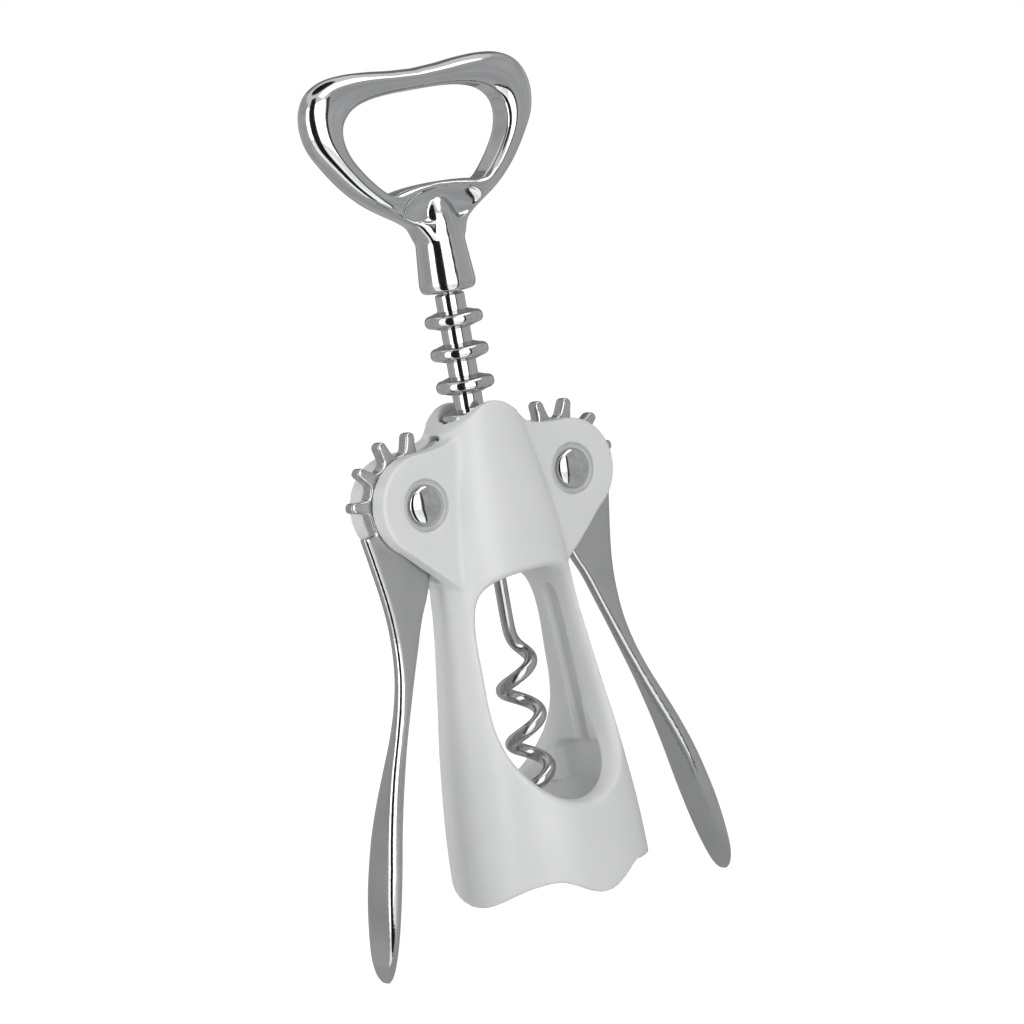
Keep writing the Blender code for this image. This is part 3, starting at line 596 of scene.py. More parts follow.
def turned(name, profile, collection, segments=ROUND_SEGMENTS, closed=False):
    """A profile of radius and height, outer side top to bottom, turned about Z."""
    work = bmesh.new()
    verts = [work.verts.new((radius, 0.0, height)) for radius, height in profile]
    for first, second in zip(verts, verts[1:]):
        work.edges.new((first, second))
    if closed:
        work.edges.new((verts[-1], verts[0]))
    item = from_bmesh(name, work, collection)
    screw = item.modifiers.new("turn", "SCREW")
    screw.steps = segments
    screw.render_steps = segments
    screw.use_merge_vertices = True
    screw.merge_threshold = MERGE
    return baked(item, collection)


def cylinder(name, radius, start, end, collection, axis="Z", segments=ROUND_SEGMENTS):
    work = bmesh.new()
    size = {"radius1": radius, "radius2": radius, "depth": end - start}
    bmesh.ops.create_cone(work, cap_ends=True, segments=segments, **size)
    bmesh.ops.translate(work, verts=work.verts, vec=(0.0, 0.0, (start + end) / 2))
    if axis == "Y":
        turn = Matrix.Rotation(-math.pi / 2, 3, "X")
        bmesh.ops.rotate(work, verts=work.verts, cent=(0.0, 0.0, 0.0), matrix=turn)
    return from_bmesh(name, work, collection)


def loft(name, rings, collection):
    """Skin a stack of closed rings that have the same number of points, ends filled."""
    work = bmesh.new()
    rows = [[work.verts.new(point) for point in ring] for ring in rings]
    for lower, upper in zip(rows, rows[1:]):
        for index in range(len(lower)):
            after = (index + 1) % len(lower)
            work.faces.new((lower[index], lower[after], upper[after], upper[index]))
    work.faces.new(list(reversed(rows[0])))
    work.faces.new(rows[-1])
    bmesh.ops.recalc_face_normals(work, faces=work.faces)
    return from_bmesh(name, work, collection)


def oval(height, half_x, half_y, power):
    """A ring of a superellipse: power 2 is an ellipse, higher is squarer."""
    ring = []
    for index in range(BODY_SEGMENTS):
        angle = 2 * math.pi * index / BODY_SEGMENTS
        cosine = math.cos(angle)
        sine = math.sin(angle)
        size = (abs(cosine) ** power + abs(sine) ** power) ** (-1 / power)
        ring.append((half_x * cosine * size, half_y * sine * size, PIVOT_Z + height))
    return ring


def body_half_sizes(heights):
    """Half width and half depth of the moulded body, read off its stations at any heights."""
    rows = np.array([tuple(row) for row in reversed(smooth_path(BODY_STATIONS, BODY_SAMPLES))])
    return [np.interp(heights, rows[:, 0], rows[:, column]) for column in (1, 2)]


def body_depth(x, height):
    """How far the body's outer surface stands from the mid-plane at x and a height."""
    half_x, half_y = body_half_sizes(height)
    reach = min(abs(x) / half_x, BODY_REACH_SHARE)
    return half_y * (1 - reach ** BODY_POWER) ** (1 / BODY_POWER)


def oval_stack(name, stations, power, collection):
    """Ovals of a height, half width and half depth, given from the top down, skinned over."""
    rings = [oval(*station, power) for station in smooth_path(stations, BODY_STEPS)]
    return loft(name, list(reversed(rings)), collection)


def crown_cutter(collection):
    """What lies over the body's domed top."""
    curve = lifted(smooth_path(CROWN, 2), PIVOT_Z)
    half = curve + [(CROWN_SIDE, curve[-1][1]), (CROWN_SIDE, PIVOT_Z + CROWN_LID_Z)]
    return outline_solid("cut_crown", [mirrored_loop(half)], CROWN_SIDE, collection)


def head_plates(collection):
    """Both lobes as one slab, its rim rounded. The slot splits it into two plates later."""
    lobe = arc(PIVOT_X, PIVOT_Z, LOBE_RADIUS, LOBE_LOWER_DEG, LOBE_UPPER_DEG, LOBE_STEP_DEG)
    half = lifted(reversed(PLATE_LOWER), PIVOT_Z) + lobe + lifted(PLATE_UPPER, PIVOT_Z)
    slab = outline_solid("head_plates", [mirrored_loop(half)], PLATE_HALF, collection)
    bevel = slab.modifiers.new("rounded rim", "BEVEL")
    bevel.width = PLATE_EDGE
    bevel.segments = PLATE_EDGE_SEGMENTS
    bevel.limit_method = "ANGLE"
    bevel.angle_limit = math.radians(PLATE_EDGE_DEG)
    return baked(slab, collection)


def window_cutter(collection):
    """The teardrop window's plug, flared where it leaves the wall so the lip comes out round."""
    loop = mirrored_loop(smooth_path(WINDOW, WINDOW_STEPS))
    normals = []
    for before, after in zip(loop[-1:] + loop[:-1], loop[1:] + loop[:1]):
        along = (Vector(after) - Vector(before)).normalized()
        normals.append((-along[1], along[0]))
    depths = []
    for (x, z), (nx, nz) in zip(loop, normals):
        depths.append(body_depth(x + nx * WINDOW_LIP, z + nz * WINDOW_LIP))
    sections = []
    for step in range(WINDOW_LIP_STEPS + 1):
        angle = math.pi / 2 * step / WINDOW_LIP_STEPS
        spread = WINDOW_LIP * (1 - math.cos(angle))
        inset = WINDOW_LIP_DEPTH * (1 - math.sin(angle))
        sections.append([(spread, depth - inset) for depth in depths])
    sections.append([(WINDOW_LIP + GAP, depth + WINDOW_LIP) for depth in depths])
    sections.append([(WINDOW_LIP + GAP, WINDOW_REACH) for depth in depths])
    rings = []
    for side in (-1, 1):
        ordered = reversed(sections) if side < 0 else sections
        for section in ordered:
            ring = []
            for (x, z), (nx, nz), (spread, y) in zip(loop, normals, section):
                ring.append((x + nx * spread, side * y, PIVOT_Z + z + nz * spread))
            rings.append(ring)
    return loft("cut_window", rings, collection)


def slot_cutter(side, collection):
    """Room for one lever's gear and web between the plates."""
    centre = PIVOT_X
    start = -math.degrees(math.acos((SLOT_SIDE_X - centre) / SLOT_RADIUS))
    points = [(SLOT_OUTER_X, SLOT_FLOOR_Z), (SLOT_SIDE_X, SLOT_FLOOR_Z)]
    points += arc(centre, 0.0, SLOT_RADIUS, start, -270.0, SLOT_STEP_DEG)
    points += [(SLOT_OUTER_X, SLOT_RADIUS)]
    loop = [(side * x, PIVOT_Z + z) for x, z in points]
    return outline_solid("cut_slot", [loop], SLOT_HALF, collection)


def scallop_height(x, y):
    """How far the bell's rim rises at a direction: low at the front, back and both sides."""
    turn = math.degrees(math.atan2(abs(x), abs(y)))
    share = min(turn / SCALLOP_DEG, (90.0 - turn) / (90.0 - SCALLOP_DEG))
    return SCALLOP_HEIGHT * (1 - math.cos(math.pi * share)) / 2


def scallop_cutter(collection):
    """A disc under the bell whose top waves up and down, which leaves the scalloped rim."""
    rim = PIVOT_Z + BODY_STATIONS[-1][0]
    rings = []
    foot = (SCALLOP_OUTER, SCALLOP_DROP)
    for radius, drop in (foot, (SCALLOP_OUTER, 0.0), (SCALLOP_INNER, 0.0)):
        ring = []
        for index in range(BODY_SEGMENTS):
            angle = 2 * math.pi * index / BODY_SEGMENTS
            x = radius * math.cos(angle)
            y = radius * math.sin(angle)
            rise = -drop if drop else scallop_height(x, y)
            ring.append((x, y, rim + rise))
        rings.append(ring)
    return loft("cut_scallops", rings, collection)


def leg_cutter(name, loop, reach, lean, side, collection):
    """An outline in the leg's width and height, cut outwards from the axis into one leg."""
    item = outline_solid(name, [loop], reach / 2, collection)
    item.data.transform(Matrix.Translation((0.0, reach / 2, 0.0)))
    item.rotation_euler = (lean, 0.0, -side * math.pi / 2)
    return item


def groove_cutter(side, collection):
    """The shallow upright groove, round at both ends, down the inside of one leg."""
    top = PIVOT_Z + GROOVE_TOP_Z - GROOVE_HALF
    bottom = PIVOT_Z + GROOVE_BOTTOM_Z + GROOVE_HALF
    loop = arc(0.0, top, GROOVE_HALF, 0.0, 180.0, GROOVE_STEP_DEG)
    loop += arc(0.0, bottom, GROOVE_HALF, 180.0, 360.0, GROOVE_STEP_DEG)
    lean = math.radians(GROOVE_LEAN_DEG)
    return leg_cutter("cut_groove", loop, GROOVE_REACH, lean, side, collection)


def pocket_cutter(side, collection):
    """The wide pocket in the foot of one leg, with round upper corners, down to the ledge."""
    high = PIVOT_Z + POCKET_TOP_Z - POCKET_CORNER
    inset = POCKET_HALF - POCKET_CORNER
    loop = [(-POCKET_HALF, -GAP), (POCKET_HALF, -GAP)]
    loop += arc(inset, high, POCKET_CORNER, 0.0, 90.0, GROOVE_STEP_DEG)
    loop += arc(-inset, high, POCKET_CORNER, 90.0, 180.0, GROOVE_STEP_DEG)
    return leg_cutter("cut_pocket", loop, POCKET_REACH, 0.0, side, collection)


def build_body(parts, cutters):
    """The rounded column that widens into the bell, with its plates and all its cuts."""
    body = oval_stack("body", BODY_STATIONS, BODY_POWER, parts)
    boolean(body, crown_cutter(cutters))
    boolean(body, head_plates(cutters), "UNION")
    start = PIVOT_Z + BORE_BOTTOM_Z
    socket = (
        (0.0, 0.0),
        (SOCKET_TOP_RADIUS, 0.0),
        (SOCKET_MOUTH_RADIUS, PIVOT_Z + SOCKET_MOUTH_Z),
        (0.0, PIVOT_Z + SOCKET_MOUTH_Z),
    )
    tools = [
        oval_stack("cut_cavity", CAVITY_STATIONS, CAVITY_POWER, cutters),
        cylinder("cut_bore", BORE_RADIUS, start, PIVOT_Z + BORE_TOP_Z, cutters),
        turned("cut_socket", socket, cutters, BODY_SEGMENTS),
        window_cutter(cutters),
    ]
    for side in (-1, 1):
        tools += [cut(side, cutters) for cut in (slot_cutter, groove_cutter, pocket_cutter)]
        ends = (-RECESS_OUTER, RECESS_OUTER)
        rounds = [cylinder("cut_pivot", PIN_RADIUS + GAP, *ends, cutters, "Y", SMALL_SEGMENTS)]
        for face in (-1, 1):
            ends = sorted((face * RECESS_FLOOR, face * RECESS_OUTER))
            rounds.append(cylinder("cut_recess", RECESS_RADIUS, *ends, cutters, "Y"))
        for tool in rounds:
            tool.location = (side * PIVOT_X, 0.0, PIVOT_Z)
        tools += rounds
    for tool in tools + [scallop_cutter(cutters)]:
        boolean(body, tool)
    return body


def gear_outline(side):
    """Root circle with the teeth that reach the rack and show above the plates."""
    step = 360.0 / TEETH_PER_TURN
    loop = []
    for index in range(TOOTH_COUNT):
        middle = math.radians(FIRST_TOOTH_DEG + step * index)
        rise = [(radius, -half) for radius, half in TOOTH_FLANK]
        top_radius, top_half = TOOTH_FLANK[-1]
        for part in range(1, TOOTH_TIP_STEPS):
            turn = math.pi * part / TOOTH_TIP_STEPS - math.pi / 2
            radius = top_radius + (GEAR_TIP - top_radius) * math.cos(turn)
            rise.append((radius, top_half * math.sin(turn)))
        rise += [(radius, half) for radius, half in reversed(TOOTH_FLANK)]
        for radius, offset in rise:
            angle = middle + offset / radius
            loop.append((radius * math.cos(angle), radius * math.sin(angle)))
    start = FIRST_TOOTH_DEG + step * (TOOTH_COUNT - 1) + step / 2
    loop += arc(0.0, 0.0, GEAR_ROOT, start, FIRST_TOOTH_DEG + 360 - step / 2, SLOT_STEP_DEG)
    return [(side * x, z) for x, z in loop]


def tooth_crown(cutters):
    """A disc on the pivot, thinner towards its rim, that rounds the teeth off sideways."""
    upper = [(0.0, TOOTH_CROWN[0][1])] + list(TOOTH_CROWN)
    lower = [(radius, -half) for radius, half in reversed(upper)]
    disc = turned("tooth_crown", upper + lower, cutters, BODY_SEGMENTS)
    disc.rotation_euler = (math.pi / 2, 0.0, 0.0)
    return disc


def rounded_section(outer, inner, half, edge):
    """A rounded rectangle spanning outer to inner, half as deep again on each side in y."""
    along = Vector((inner[0] - outer[0], 0.0, inner[1] - outer[1]))
    length = along.length
    along.normalize()
    start = Vector((outer[0], 0.0, outer[1]))
    corner = min(edge, length * ARM_WIDTH_SHARE, half * ARM_DEPTH_SHARE)
    ring = []
    for near_x, near_y, turn in ((1, -1, 0), (0, -1, 1), (0, 1, 2), (1, 1, 3)):
        centre_s = length - corner if near_x else corner
        centre_y = near_y * (half - corner)
        turn *= -90.0
        for reach, y in arc(centre_s, centre_y, corner, turn, turn - 90.0, 90.0 / ARM_EDGE_STEPS):
            point = start + along * reach
            ring.append((point[0], y, point[2]))
    return ring


def build_lever(side, parts, cutters, material):
    """One geared lever: a flat web that turns into a broad paddle, built about its pivot."""
    gear = outline_solid("lever", [gear_outline(side)], GEAR_HALF, parts)
    rings = []
    stations = [[share * LEVER_LENGTH for share in row] for row in ARM_SHARES]
    for outer_x, outer_z, inner_x, inner_z, half in smooth_path(stations, ARM_STEPS):
        outer = (side * outer_x, outer_z)
        inner = (side * inner_x, inner_z)
        rings.append(rounded_section(outer, inner, half, ARM_EDGE))
    arm = loft("arm", rings, cutters)
    ends = (-CAP_RADIUS, CAP_RADIUS)
    hole = cylinder("cut_bore", PIN_RADIUS + GAP, *ends, cutters, "Y", SMALL_SEGMENTS)
    location = (side * PIVOT_X, 0.0, PIVOT_Z)
    crown = tooth_crown(cutters)
    for tool in (arm, hole, crown):
        tool.location = location
    boolean(gear, crown, "INTERSECT")
    boolean(gear, arm, "UNION")
    boolean(gear, hole)
    gear.location = location
    gear = remeshed(baked(gear, parts), LEVER_VOXEL, parts)
    teeth = gear.vertex_groups.new(name="teeth")
    near = [v.index for v in gear.data.vertices if math.hypot(v.co.x, v.co.z) > GEAR_ROOT - GAP]
    near = [index for index in near if gear.data.vertices[index].co.length < GEAR_TIP + GAP]
    teeth.add(near, 1.0, "REPLACE")
    soften(gear, TOOTH_SMOOTH_STEPS, teeth)
    soften(gear, LEVER_SMOOTH_STEPS)
    return settle(gear, material, location, creases=False)


def rack_profile():
    """Outer side of the rack from top to bottom, then back up its bore."""
    profile = [(CORE_RADIUS - RACK_END_CHAMFER / 2, RACK_TOP_Z)]
    profile.append((CORE_RADIUS, RACK_TOP_Z - RACK_END_CHAMFER / 2))
    half = RING_THICKNESS / 2
    step = 90.0 / RING_EDGE_STEPS
    for index in range(RING_COUNT):
        middle = TOP_RING_Z - RING_PITCH * index
        profile.append((CORE_RADIUS, middle + half + ROOT_BLEND))
        for side, start, end in ((1, 90.0, 0.0), (-1, 0.0, -90.0)):
            centre = middle + side * (half - RING_EDGE)
            profile += arc(RING_RADIUS - RING_EDGE, centre, RING_EDGE, start, end, step)
        profile.append((CORE_RADIUS, middle - half - ROOT_BLEND))
    profile.append((CORE_RADIUS, RACK_BOTTOM_Z + RACK_END_CHAMFER))
    profile.append((CORE_RADIUS - RACK_END_CHAMFER, RACK_BOTTOM_Z))
    return profile + [(WIRE_RADIUS + GAP, height) for height in (RACK_BOTTOM_Z, RACK_TOP_Z)]


def build_rack(parts, material):
    rack = turned("rack", rack_profile(), parts, RACK_SEGMENTS, closed=True)
    return settle(rack, material, AXIS_PLACE)


def scoop_cutter(face, collection):
    """The hollow in the front or back of the web between the lip and the shank's ridge."""
    work = bmesh.new()
    bmesh.ops.create_uvsphere(work, u_segments=SCOOP_SEGMENTS, v_segments=SCOOP_RINGS, radius=1.0)
    size = (SCOOP_HALF_X, SCOOP_HALF_Y, SCOOP_HALF_Z)
    bmesh.ops.scale(work, verts=work.verts, vec=size)
    depth = face * (HANDLE_FLAT + HANDLE_ROUND)
    bmesh.ops.translate(work, verts=work.verts, vec=(0.0, depth, RACK_TOP_Z + SCOOP_Z))
    return from_bmesh("cut_scoop", work, collection)


def path_distance(spots, path):
    """How far each spot is from a closed path, in the plane of both."""
    nearest = np.full(len(spots), np.inf)
    for start, end in zip(path, path[1:] + path[:1]):
        along = np.subtract(end, start)
        share = np.clip((spots - start) @ along / max(along @ along, MERGE ** 2), 0, 1)
        away = spots - start - share[:, None] * along
        nearest = np.minimum(nearest, np.hypot(away[:, 0], away[:, 1]))
    return nearest


def swell(away, reach, edge_share):
    """How thick a limb is at a distance from its edge, over how thick the flat loop is there."""
    wanted = edge_share + (1 - edge_share) * np.sqrt(1 - (1 - np.clip(away / reach, 0, 1)) ** 2)
    corner = np.clip(1 - away / HANDLE_ROUND, 0, 1)
    full = HANDLE_FLAT + HANDLE_ROUND
    return wanted * full / (HANDLE_FLAT + HANDLE_ROUND * np.sqrt(1 - corner ** 2))


def round_limbs(loop, outer, hole):
    """Makes the flat loop's limbs swell from thin edges to a ridge, as the casting's do."""
    spots = vertex_spots(loop)
    flat = spots[:, [0, 2]]
    off_outer, off_hole = path_distance(flat, outer), path_distance(flat, hole)
    width = np.minimum(off_outer + off_hole, LIMB_WIDTH)
    scale = swell(off_outer, width * LIMB_RIDGE_SHARE, LIMB_OUTER_SHARE)
    scale *= swell(off_hole, width * (1 - LIMB_RIDGE_SHARE), LIMB_HOLE_SHARE)
    low, high = LIMB_FADE_Z
    fade = np.clip((spots[:, 2] - RACK_TOP_Z - low) / (high - low), 0, 1)
    spots[:, 1] *= 1 - fade * (1 - scale)
    loop.data.vertices.foreach_set("co", spots.ravel())


def build_handle(parts, cutters, material):
    """The loop and its tapered shank joined in one casting, with a soft blend between them."""
    outer = mirrored_loop(lifted(smooth_path(HANDLE_OUTER, HANDLE_STEPS)))
    hole_half = smooth_path(HANDLE_HOLE, HANDLE_STEPS) + smooth_path(HANDLE_LIP, 2)
    hole = mirrored_loop(lifted(hole_half))
    loop = outline_solid(
        "loop", [outer, hole], HANDLE_FLAT, parts, HANDLE_ROUND, HANDLE_ROUND_STEPS
    )
    for face in (-1, 1):
        boolean(loop, scoop_cutter(face, cutters))
    loop = baked(loop, parts)
    profile = lifted([(0.0, SHANK[0][1])] + list(SHANK) + [(0.0, SHANK[-1][1])])
    shank = turned("handle_shank", profile, parts)
    ends = (RACK_TOP_Z - GAP, RACK_TOP_Z + SHANK_BORE_DEPTH)
    bore = cylinder("cut_bore", WIRE_RADIUS + GAP, *ends, cutters, "Z", SMALL_SEGMENTS)
    boolean(shank, bore)
    shank = baked(shank, parts)
    work = bmesh.new()
    work.from_mesh(loop.data)
    work.from_mesh(shank.data)
    poured(work, loop.data)
    bpy.data.objects.remove(shank, do_unlink=True)
    loop = remeshed(loop, CAST_VOXEL, parts)
    round_limbs(loop, outer, hole)
    soften(loop, CAST_SMOOTH_STEPS)
    return settle(loop, material, AXIS_PLACE, creases=False)


def worm_points():
    """The wire's centre line: straight up the axis, a bend out to the helix, then the helix."""
    points = []
    for index in range(WORM_STRAIGHT_STEPS + 1):
        height = WORM_TOP_Z + (WORM_STRAIGHT_Z - WORM_TOP_Z) * index / WORM_STRAIGHT_STEPS
        points.append((0.0, 0.0, height, 1.0))
    bend = WORM_STRAIGHT_Z - WORM_RAMP_Z
    drop = HELIX_PITCH / WORM_STEPS_PER_TURN
    count = math.ceil((WORM_STRAIGHT_Z - WORM_TIP_Z) / drop)
    for index in range(1, count + 1):
        height = WORM_STRAIGHT_Z - (WORM_STRAIGHT_Z - WORM_TIP_Z) * index / count
        ramp = min(1.0, (WORM_STRAIGHT_Z - height) / bend)
        radius = HELIX_RADIUS * ramp * ramp * (3 - 2 * ramp)
        wound = min(height, WORM_RAMP_Z + bend * (1 - ramp ** WORM_TWIST_POWER) / WORM_TWIST_POWER)
        turns = (wound - HELIX_PHASE_Z) / HELIX_PITCH
        angle = math.radians(HELIX_PHASE_DEG) + 2 * math.pi * turns
        taper = min(1.0, WORM_POINT_SHARE + (height - WORM_TIP_Z) / WORM_POINT_LENGTH)
        points.append((radius * math.cos(angle), radius * math.sin(angle), height, taper))
    return points


def build_worm(parts, material):
    points = worm_points()
    curve = bpy.data.curves.new("worm", "CURVE")
    curve.dimensions = "3D"
    curve.bevel_depth = WIRE_RADIUS
    curve.bevel_resolution = WIRE_ROUND_STEPS
    curve.use_fill_caps = True
    spline = curve.splines.new("POLY")
    spline.points.add(len(points) - 1)
    for index, (x, y, z, taper) in enumerate(points):
        spline.points[index].co = (x, y, z, 1.0)
        spline.points[index].radius = taper
    item = add_object("worm", curve, parts)
    return settle(item, material, AXIS_PLACE)


def cap_profile():
    """Dome over a short rim, with the pin's blind socket in its flat underside."""
    profile = []
    for part in range(CAP_ARC_STEPS + 1):
        angle = math.pi / 2 * (1 - part / CAP_ARC_STEPS)
        height = CAP_RIM + (CAP_HEIGHT - CAP_RIM) * math.sin(angle)
        profile.append((CAP_RADIUS * math.cos(angle), height))
    profile[0] = (0.0, CAP_HEIGHT)
    hole = PIN_RADIUS + GAP
    profile += [(CAP_RADIUS - CAP_RIM / 2, 0.0), (hole, 0.0)]
    return profile + [(hole, CAP_SOCKET_DEPTH), (0.0, CAP_SOCKET_DEPTH)]


def build_cap(side, face, parts, material):
    cap = turned("cap", cap_profile(), parts, CAP_SEGMENTS)
    cap.rotation_euler = (-face * math.pi / 2, 0.0, 0.0)
    return settle(cap, material, (side * PIVOT_X, face * (RECESS_FLOOR + GAP), PIVOT_Z))


def drop_crumbs(item):
    """Keeps the largest joined piece of a mesh and deletes what the cuts left loose."""
    mesh = item.data
    ends = np.empty(len(mesh.edges) * 2, dtype=np.int64)
    mesh.edges.foreach_get("vertices", ends)
    ends = ends.reshape(-1, 2)
    labels = np.arange(len(mesh.vertices))
    while (labels[ends[:, 0]] != labels[ends[:, 1]]).any():
        low = labels[ends].min(axis=1)
        for column in (0, 1):
            np.minimum.at(labels, labels[ends[:, column]], low)
        while (labels[labels] != labels).any():
            labels = labels[labels]
    largest = np.bincount(labels).argmax()
    work = bmesh.new()
    work.from_mesh(mesh)
    work.verts.ensure_lookup_table()
    loose = [work.verts[int(index)] for index in np.nonzero(labels != largest)[0]]
    bmesh.ops.delete(work, geom=loose, context="VERTS")
    poured(work, mesh)


def body_skin(body, material, parts):
    """The body remeshed finely, with the creases between column and plates filleted."""
    solid = remeshed(baked(body, parts), SKIN_VOXEL, parts)
    drop_crumbs(solid)
    spots = vertex_spots(solid)
    heights = spots[:, 2] - PIVOT_Z
    half_x, half_y = body_half_sizes(heights)
    ratio = np.minimum(PLATE_HALF / half_y, BODY_REACH_SHARE)
    crease_x = half_x * (1 - ratio ** BODY_POWER) ** (1 / BODY_POWER)
    away = np.hypot(np.abs(spots[:, 0]) - crease_x, np.abs(spots[:, 1]) - PLATE_HALF)
    weights = np.clip(1 - away / CREASE_REACH, 0, 1)
    weights[(heights > CREASE_TOP_Z) | (heights < CREASE_BOTTOM_Z)] = 0
    rim = np.clip((RIM_TOP_Z - heights) / RIM_REACH, 0, 1)
    for name, shares, steps in (("fillet", weights, CREASE_STEPS), ("rim", rim, RIM_STEPS)):
        group = solid.vertex_groups.new(name=name)
        for index in np.nonzero(shares)[0]:
            group.add([int(index)], float(shares[index]), "REPLACE")
        soften(solid, steps, group)
    soften(solid, SKIN_SMOOTH_STEPS)
    fewer = solid.modifiers.new("fewer", "DECIMATE")
    fewer.ratio = min(1.0, SKIN_FACES / (2 * len(solid.data.polygons)))
    return settle(solid, material, creases=False)


def shader_of(name):
    material = bpy.data.materials.new(name)
    material.use_nodes = True
    tree = material.node_tree
    return material, tree, tree.nodes["Principled BSDF"]


def feed(tree, socket, value):
    """Link a socket to another node's output, or set it to a constant."""
    if hasattr(value, "is_output"):
        tree.links.new(value, socket)
    else:
        socket.default_value = value


def node(tree, kind, **inputs):
    """A new node with values or links for its named inputs."""
    made = tree.nodes.new(kind)
    for key, value in inputs.items():
        feed(tree, made.inputs[key.replace("_", " ")], value)
    return made


def noise(tree, scale, detail=3.0, roughness=0.5, stretch=None):
    place = tree.nodes.new("ShaderNodeTexCoord").outputs["Object"]
    if stretch:
        place = node(tree, "ShaderNodeMapping", Vector=place, Scale=stretch).outputs["Vector"]
    values = {"Scale": scale, "Detail": detail, "Roughness": roughness}
    return node(tree, "ShaderNodeTexNoise", Vector=place, **values).outputs["Fac"]


def ramp(tree, source, stops, dark, light):
    """A colour that goes from dark to light between two values of the source."""
    made = node(tree, "ShaderNodeValToRGB", Fac=source)
    for stop, position, color in zip(made.color_ramp.elements, stops, (dark, light)):
        stop.position = position
        stop.color = (*color, 1.0)
    return made.outputs["Color"]


def mottle(tree, socket, grain, stops, dark, light):
    """Drive a colour socket with noise that wanders between two colours."""
    tree.links.new(ramp(tree, noise(tree, *grain), stops, dark, light), socket)


def spread(tree, grain, low, high):
    """Noise between two values."""
    made = node(tree, "ShaderNodeMapRange", Value=noise(tree, *grain), To_Min=low, To_Max=high)
    return made.outputs["Result"]


def calculated(tree, operation, *values):
    made = tree.nodes.new("ShaderNodeMath")
    made.operation = operation
    for socket, value in zip(made.inputs, values):
        feed(tree, socket, value)
    return made.outputs["Value"]


def surface(name, metallic, tint, rough, bump):
    """A material whose colour, roughness and fine bump all wander with noise."""
    material, tree, shader = shader_of(name)
    mottle(tree, shader.inputs["Base Color"], *tint)
    shader.inputs["Metallic"].default_value = metallic
    tree.links.new(spread(tree, *rough), shader.inputs["Roughness"])
    grain, strength, distance = bump
    values = {"Height": noise(tree, *grain), "Strength": strength, "Distance": distance}
    normal = node(tree, "ShaderNodeBump", **values).outputs["Normal"]
    tree.links.new(normal, shader.inputs["Normal"])
    return material, tree, shader


def plastic():
    material, tree, shader = surface("white_moulded_plastic", 0.0, *WHITE_PLASTIC)
    shader.inputs["IOR"].default_value = PLASTIC_IOR
    shader.inputs["Subsurface Weight"].default_value = PLASTIC_GLOW
    shader.inputs["Subsurface Radius"].default_value = PLASTIC_GLOW_COLOR
    shader.inputs["Subsurface Scale"].default_value = PLASTIC_GLOW_DEPTH
    return material


def chrome():
    return surface("polished_chrome", METAL, *POLISHED_CHROME)[0]


def lever_metal():
    """Polished edges round flat faces with a satin finish."""
    material, tree, shader = surface("satin_chrome", METAL, *LEVER_CHROME)
    normal = tree.nodes.new("ShaderNodeTexCoord").outputs["Normal"]
    parts = node(tree, "ShaderNodeSeparateXYZ", Vector=normal)
    flat = calculated(tree, "ABSOLUTE", parts.outputs["Y"])
    rough = tree.nodes.new("ShaderNodeMix")
    tree.links.new(ramp(tree, flat, SATIN_STOPS, BLACK, WHITE), rough.inputs["Factor"])
    tree.links.new(shader.inputs["Roughness"].links[0].from_socket, rough.inputs[2])
    tree.links.new(spread(tree, *SATIN_ROUGH), rough.inputs[3])
    tree.links.new(rough.outputs[0], shader.inputs["Roughness"])
    return material


def steel():
    return surface("drawn_steel", METAL, *DRAWN_STEEL)[0]


def floor():
    """A pale floor that keeps a soft trace of the shadow and runs into the white background."""
    mesh = bpy.data.meshes.new("floor")
    half = FLOOR_SIZE / 2
    corners = [(-half, -half, 0.0), (half, -half, 0.0), (half, half, 0.0), (-half, half, 0.0)]
    mesh.from_pydata(corners, [], [(0, 1, 2, 3)])
    item = add_object("floor", mesh)
    item.location = (0.0, 0.0, FLOOR_Z)
    material, tree, shader = shader_of("pale_floor")
    mottle(tree, shader.inputs["Base Color"], *FLOOR_TINT)
    shader.inputs["Roughness"].default_value = FLOOR_ROUGHNESS
    glow = node(tree, "ShaderNodeEmission", Color=(*WHITE, 1.0), Strength=BACKDROP_WHITE)
    share = calculated(tree, "MULTIPLY", backdrop_rays(tree), FLOOR_GLOW_SHARE)
    mix = node(tree, "ShaderNodeMixShader", Fac=share)
    tree.links.new(shader.outputs["BSDF"], mix.inputs[1])
    tree.links.new(glow.outputs["Emission"], mix.inputs[2])
    tree.links.new(mix.outputs["Shader"], tree.nodes["Material Output"].inputs["Surface"])
    mesh.materials.append(material)


def backdrop_rays(tree):
    """One for the rays that see the backdrop itself: the camera's, and those off or through it."""
    rays = tree.nodes.new("ShaderNodeLightPath")
    total = rays.outputs["Is Camera Ray"]
    for name in ("Is Glossy Ray", "Is Transmission Ray"):
        total = calculated(tree, "MAXIMUM", total, rays.outputs[name])
    return total


def world():
    """White where it is seen, also in the metal, and a low even light all round."""
    made = bpy.data.worlds.new("studio")
    bpy.context.scene.world = made
    made.use_nodes = True
    tree = made.node_tree
    level = node(tree, "ShaderNodeMix", Factor=backdrop_rays(tree))
    level.inputs[2].default_value = WORLD_LEVEL
    level.inputs[3].default_value = 1.0
    tree.links.new(level.outputs[0], tree.nodes["Background"].inputs["Strength"])
    tree.nodes["Background"].inputs["Color"].default_value = (*WHITE, 1.0)


def outwards(azimuth):
    """The level direction at an angle round from the front, towards +X."""
    turn = math.radians(azimuth)
    return Vector((math.sin(turn), -math.cos(turn), 0.0))


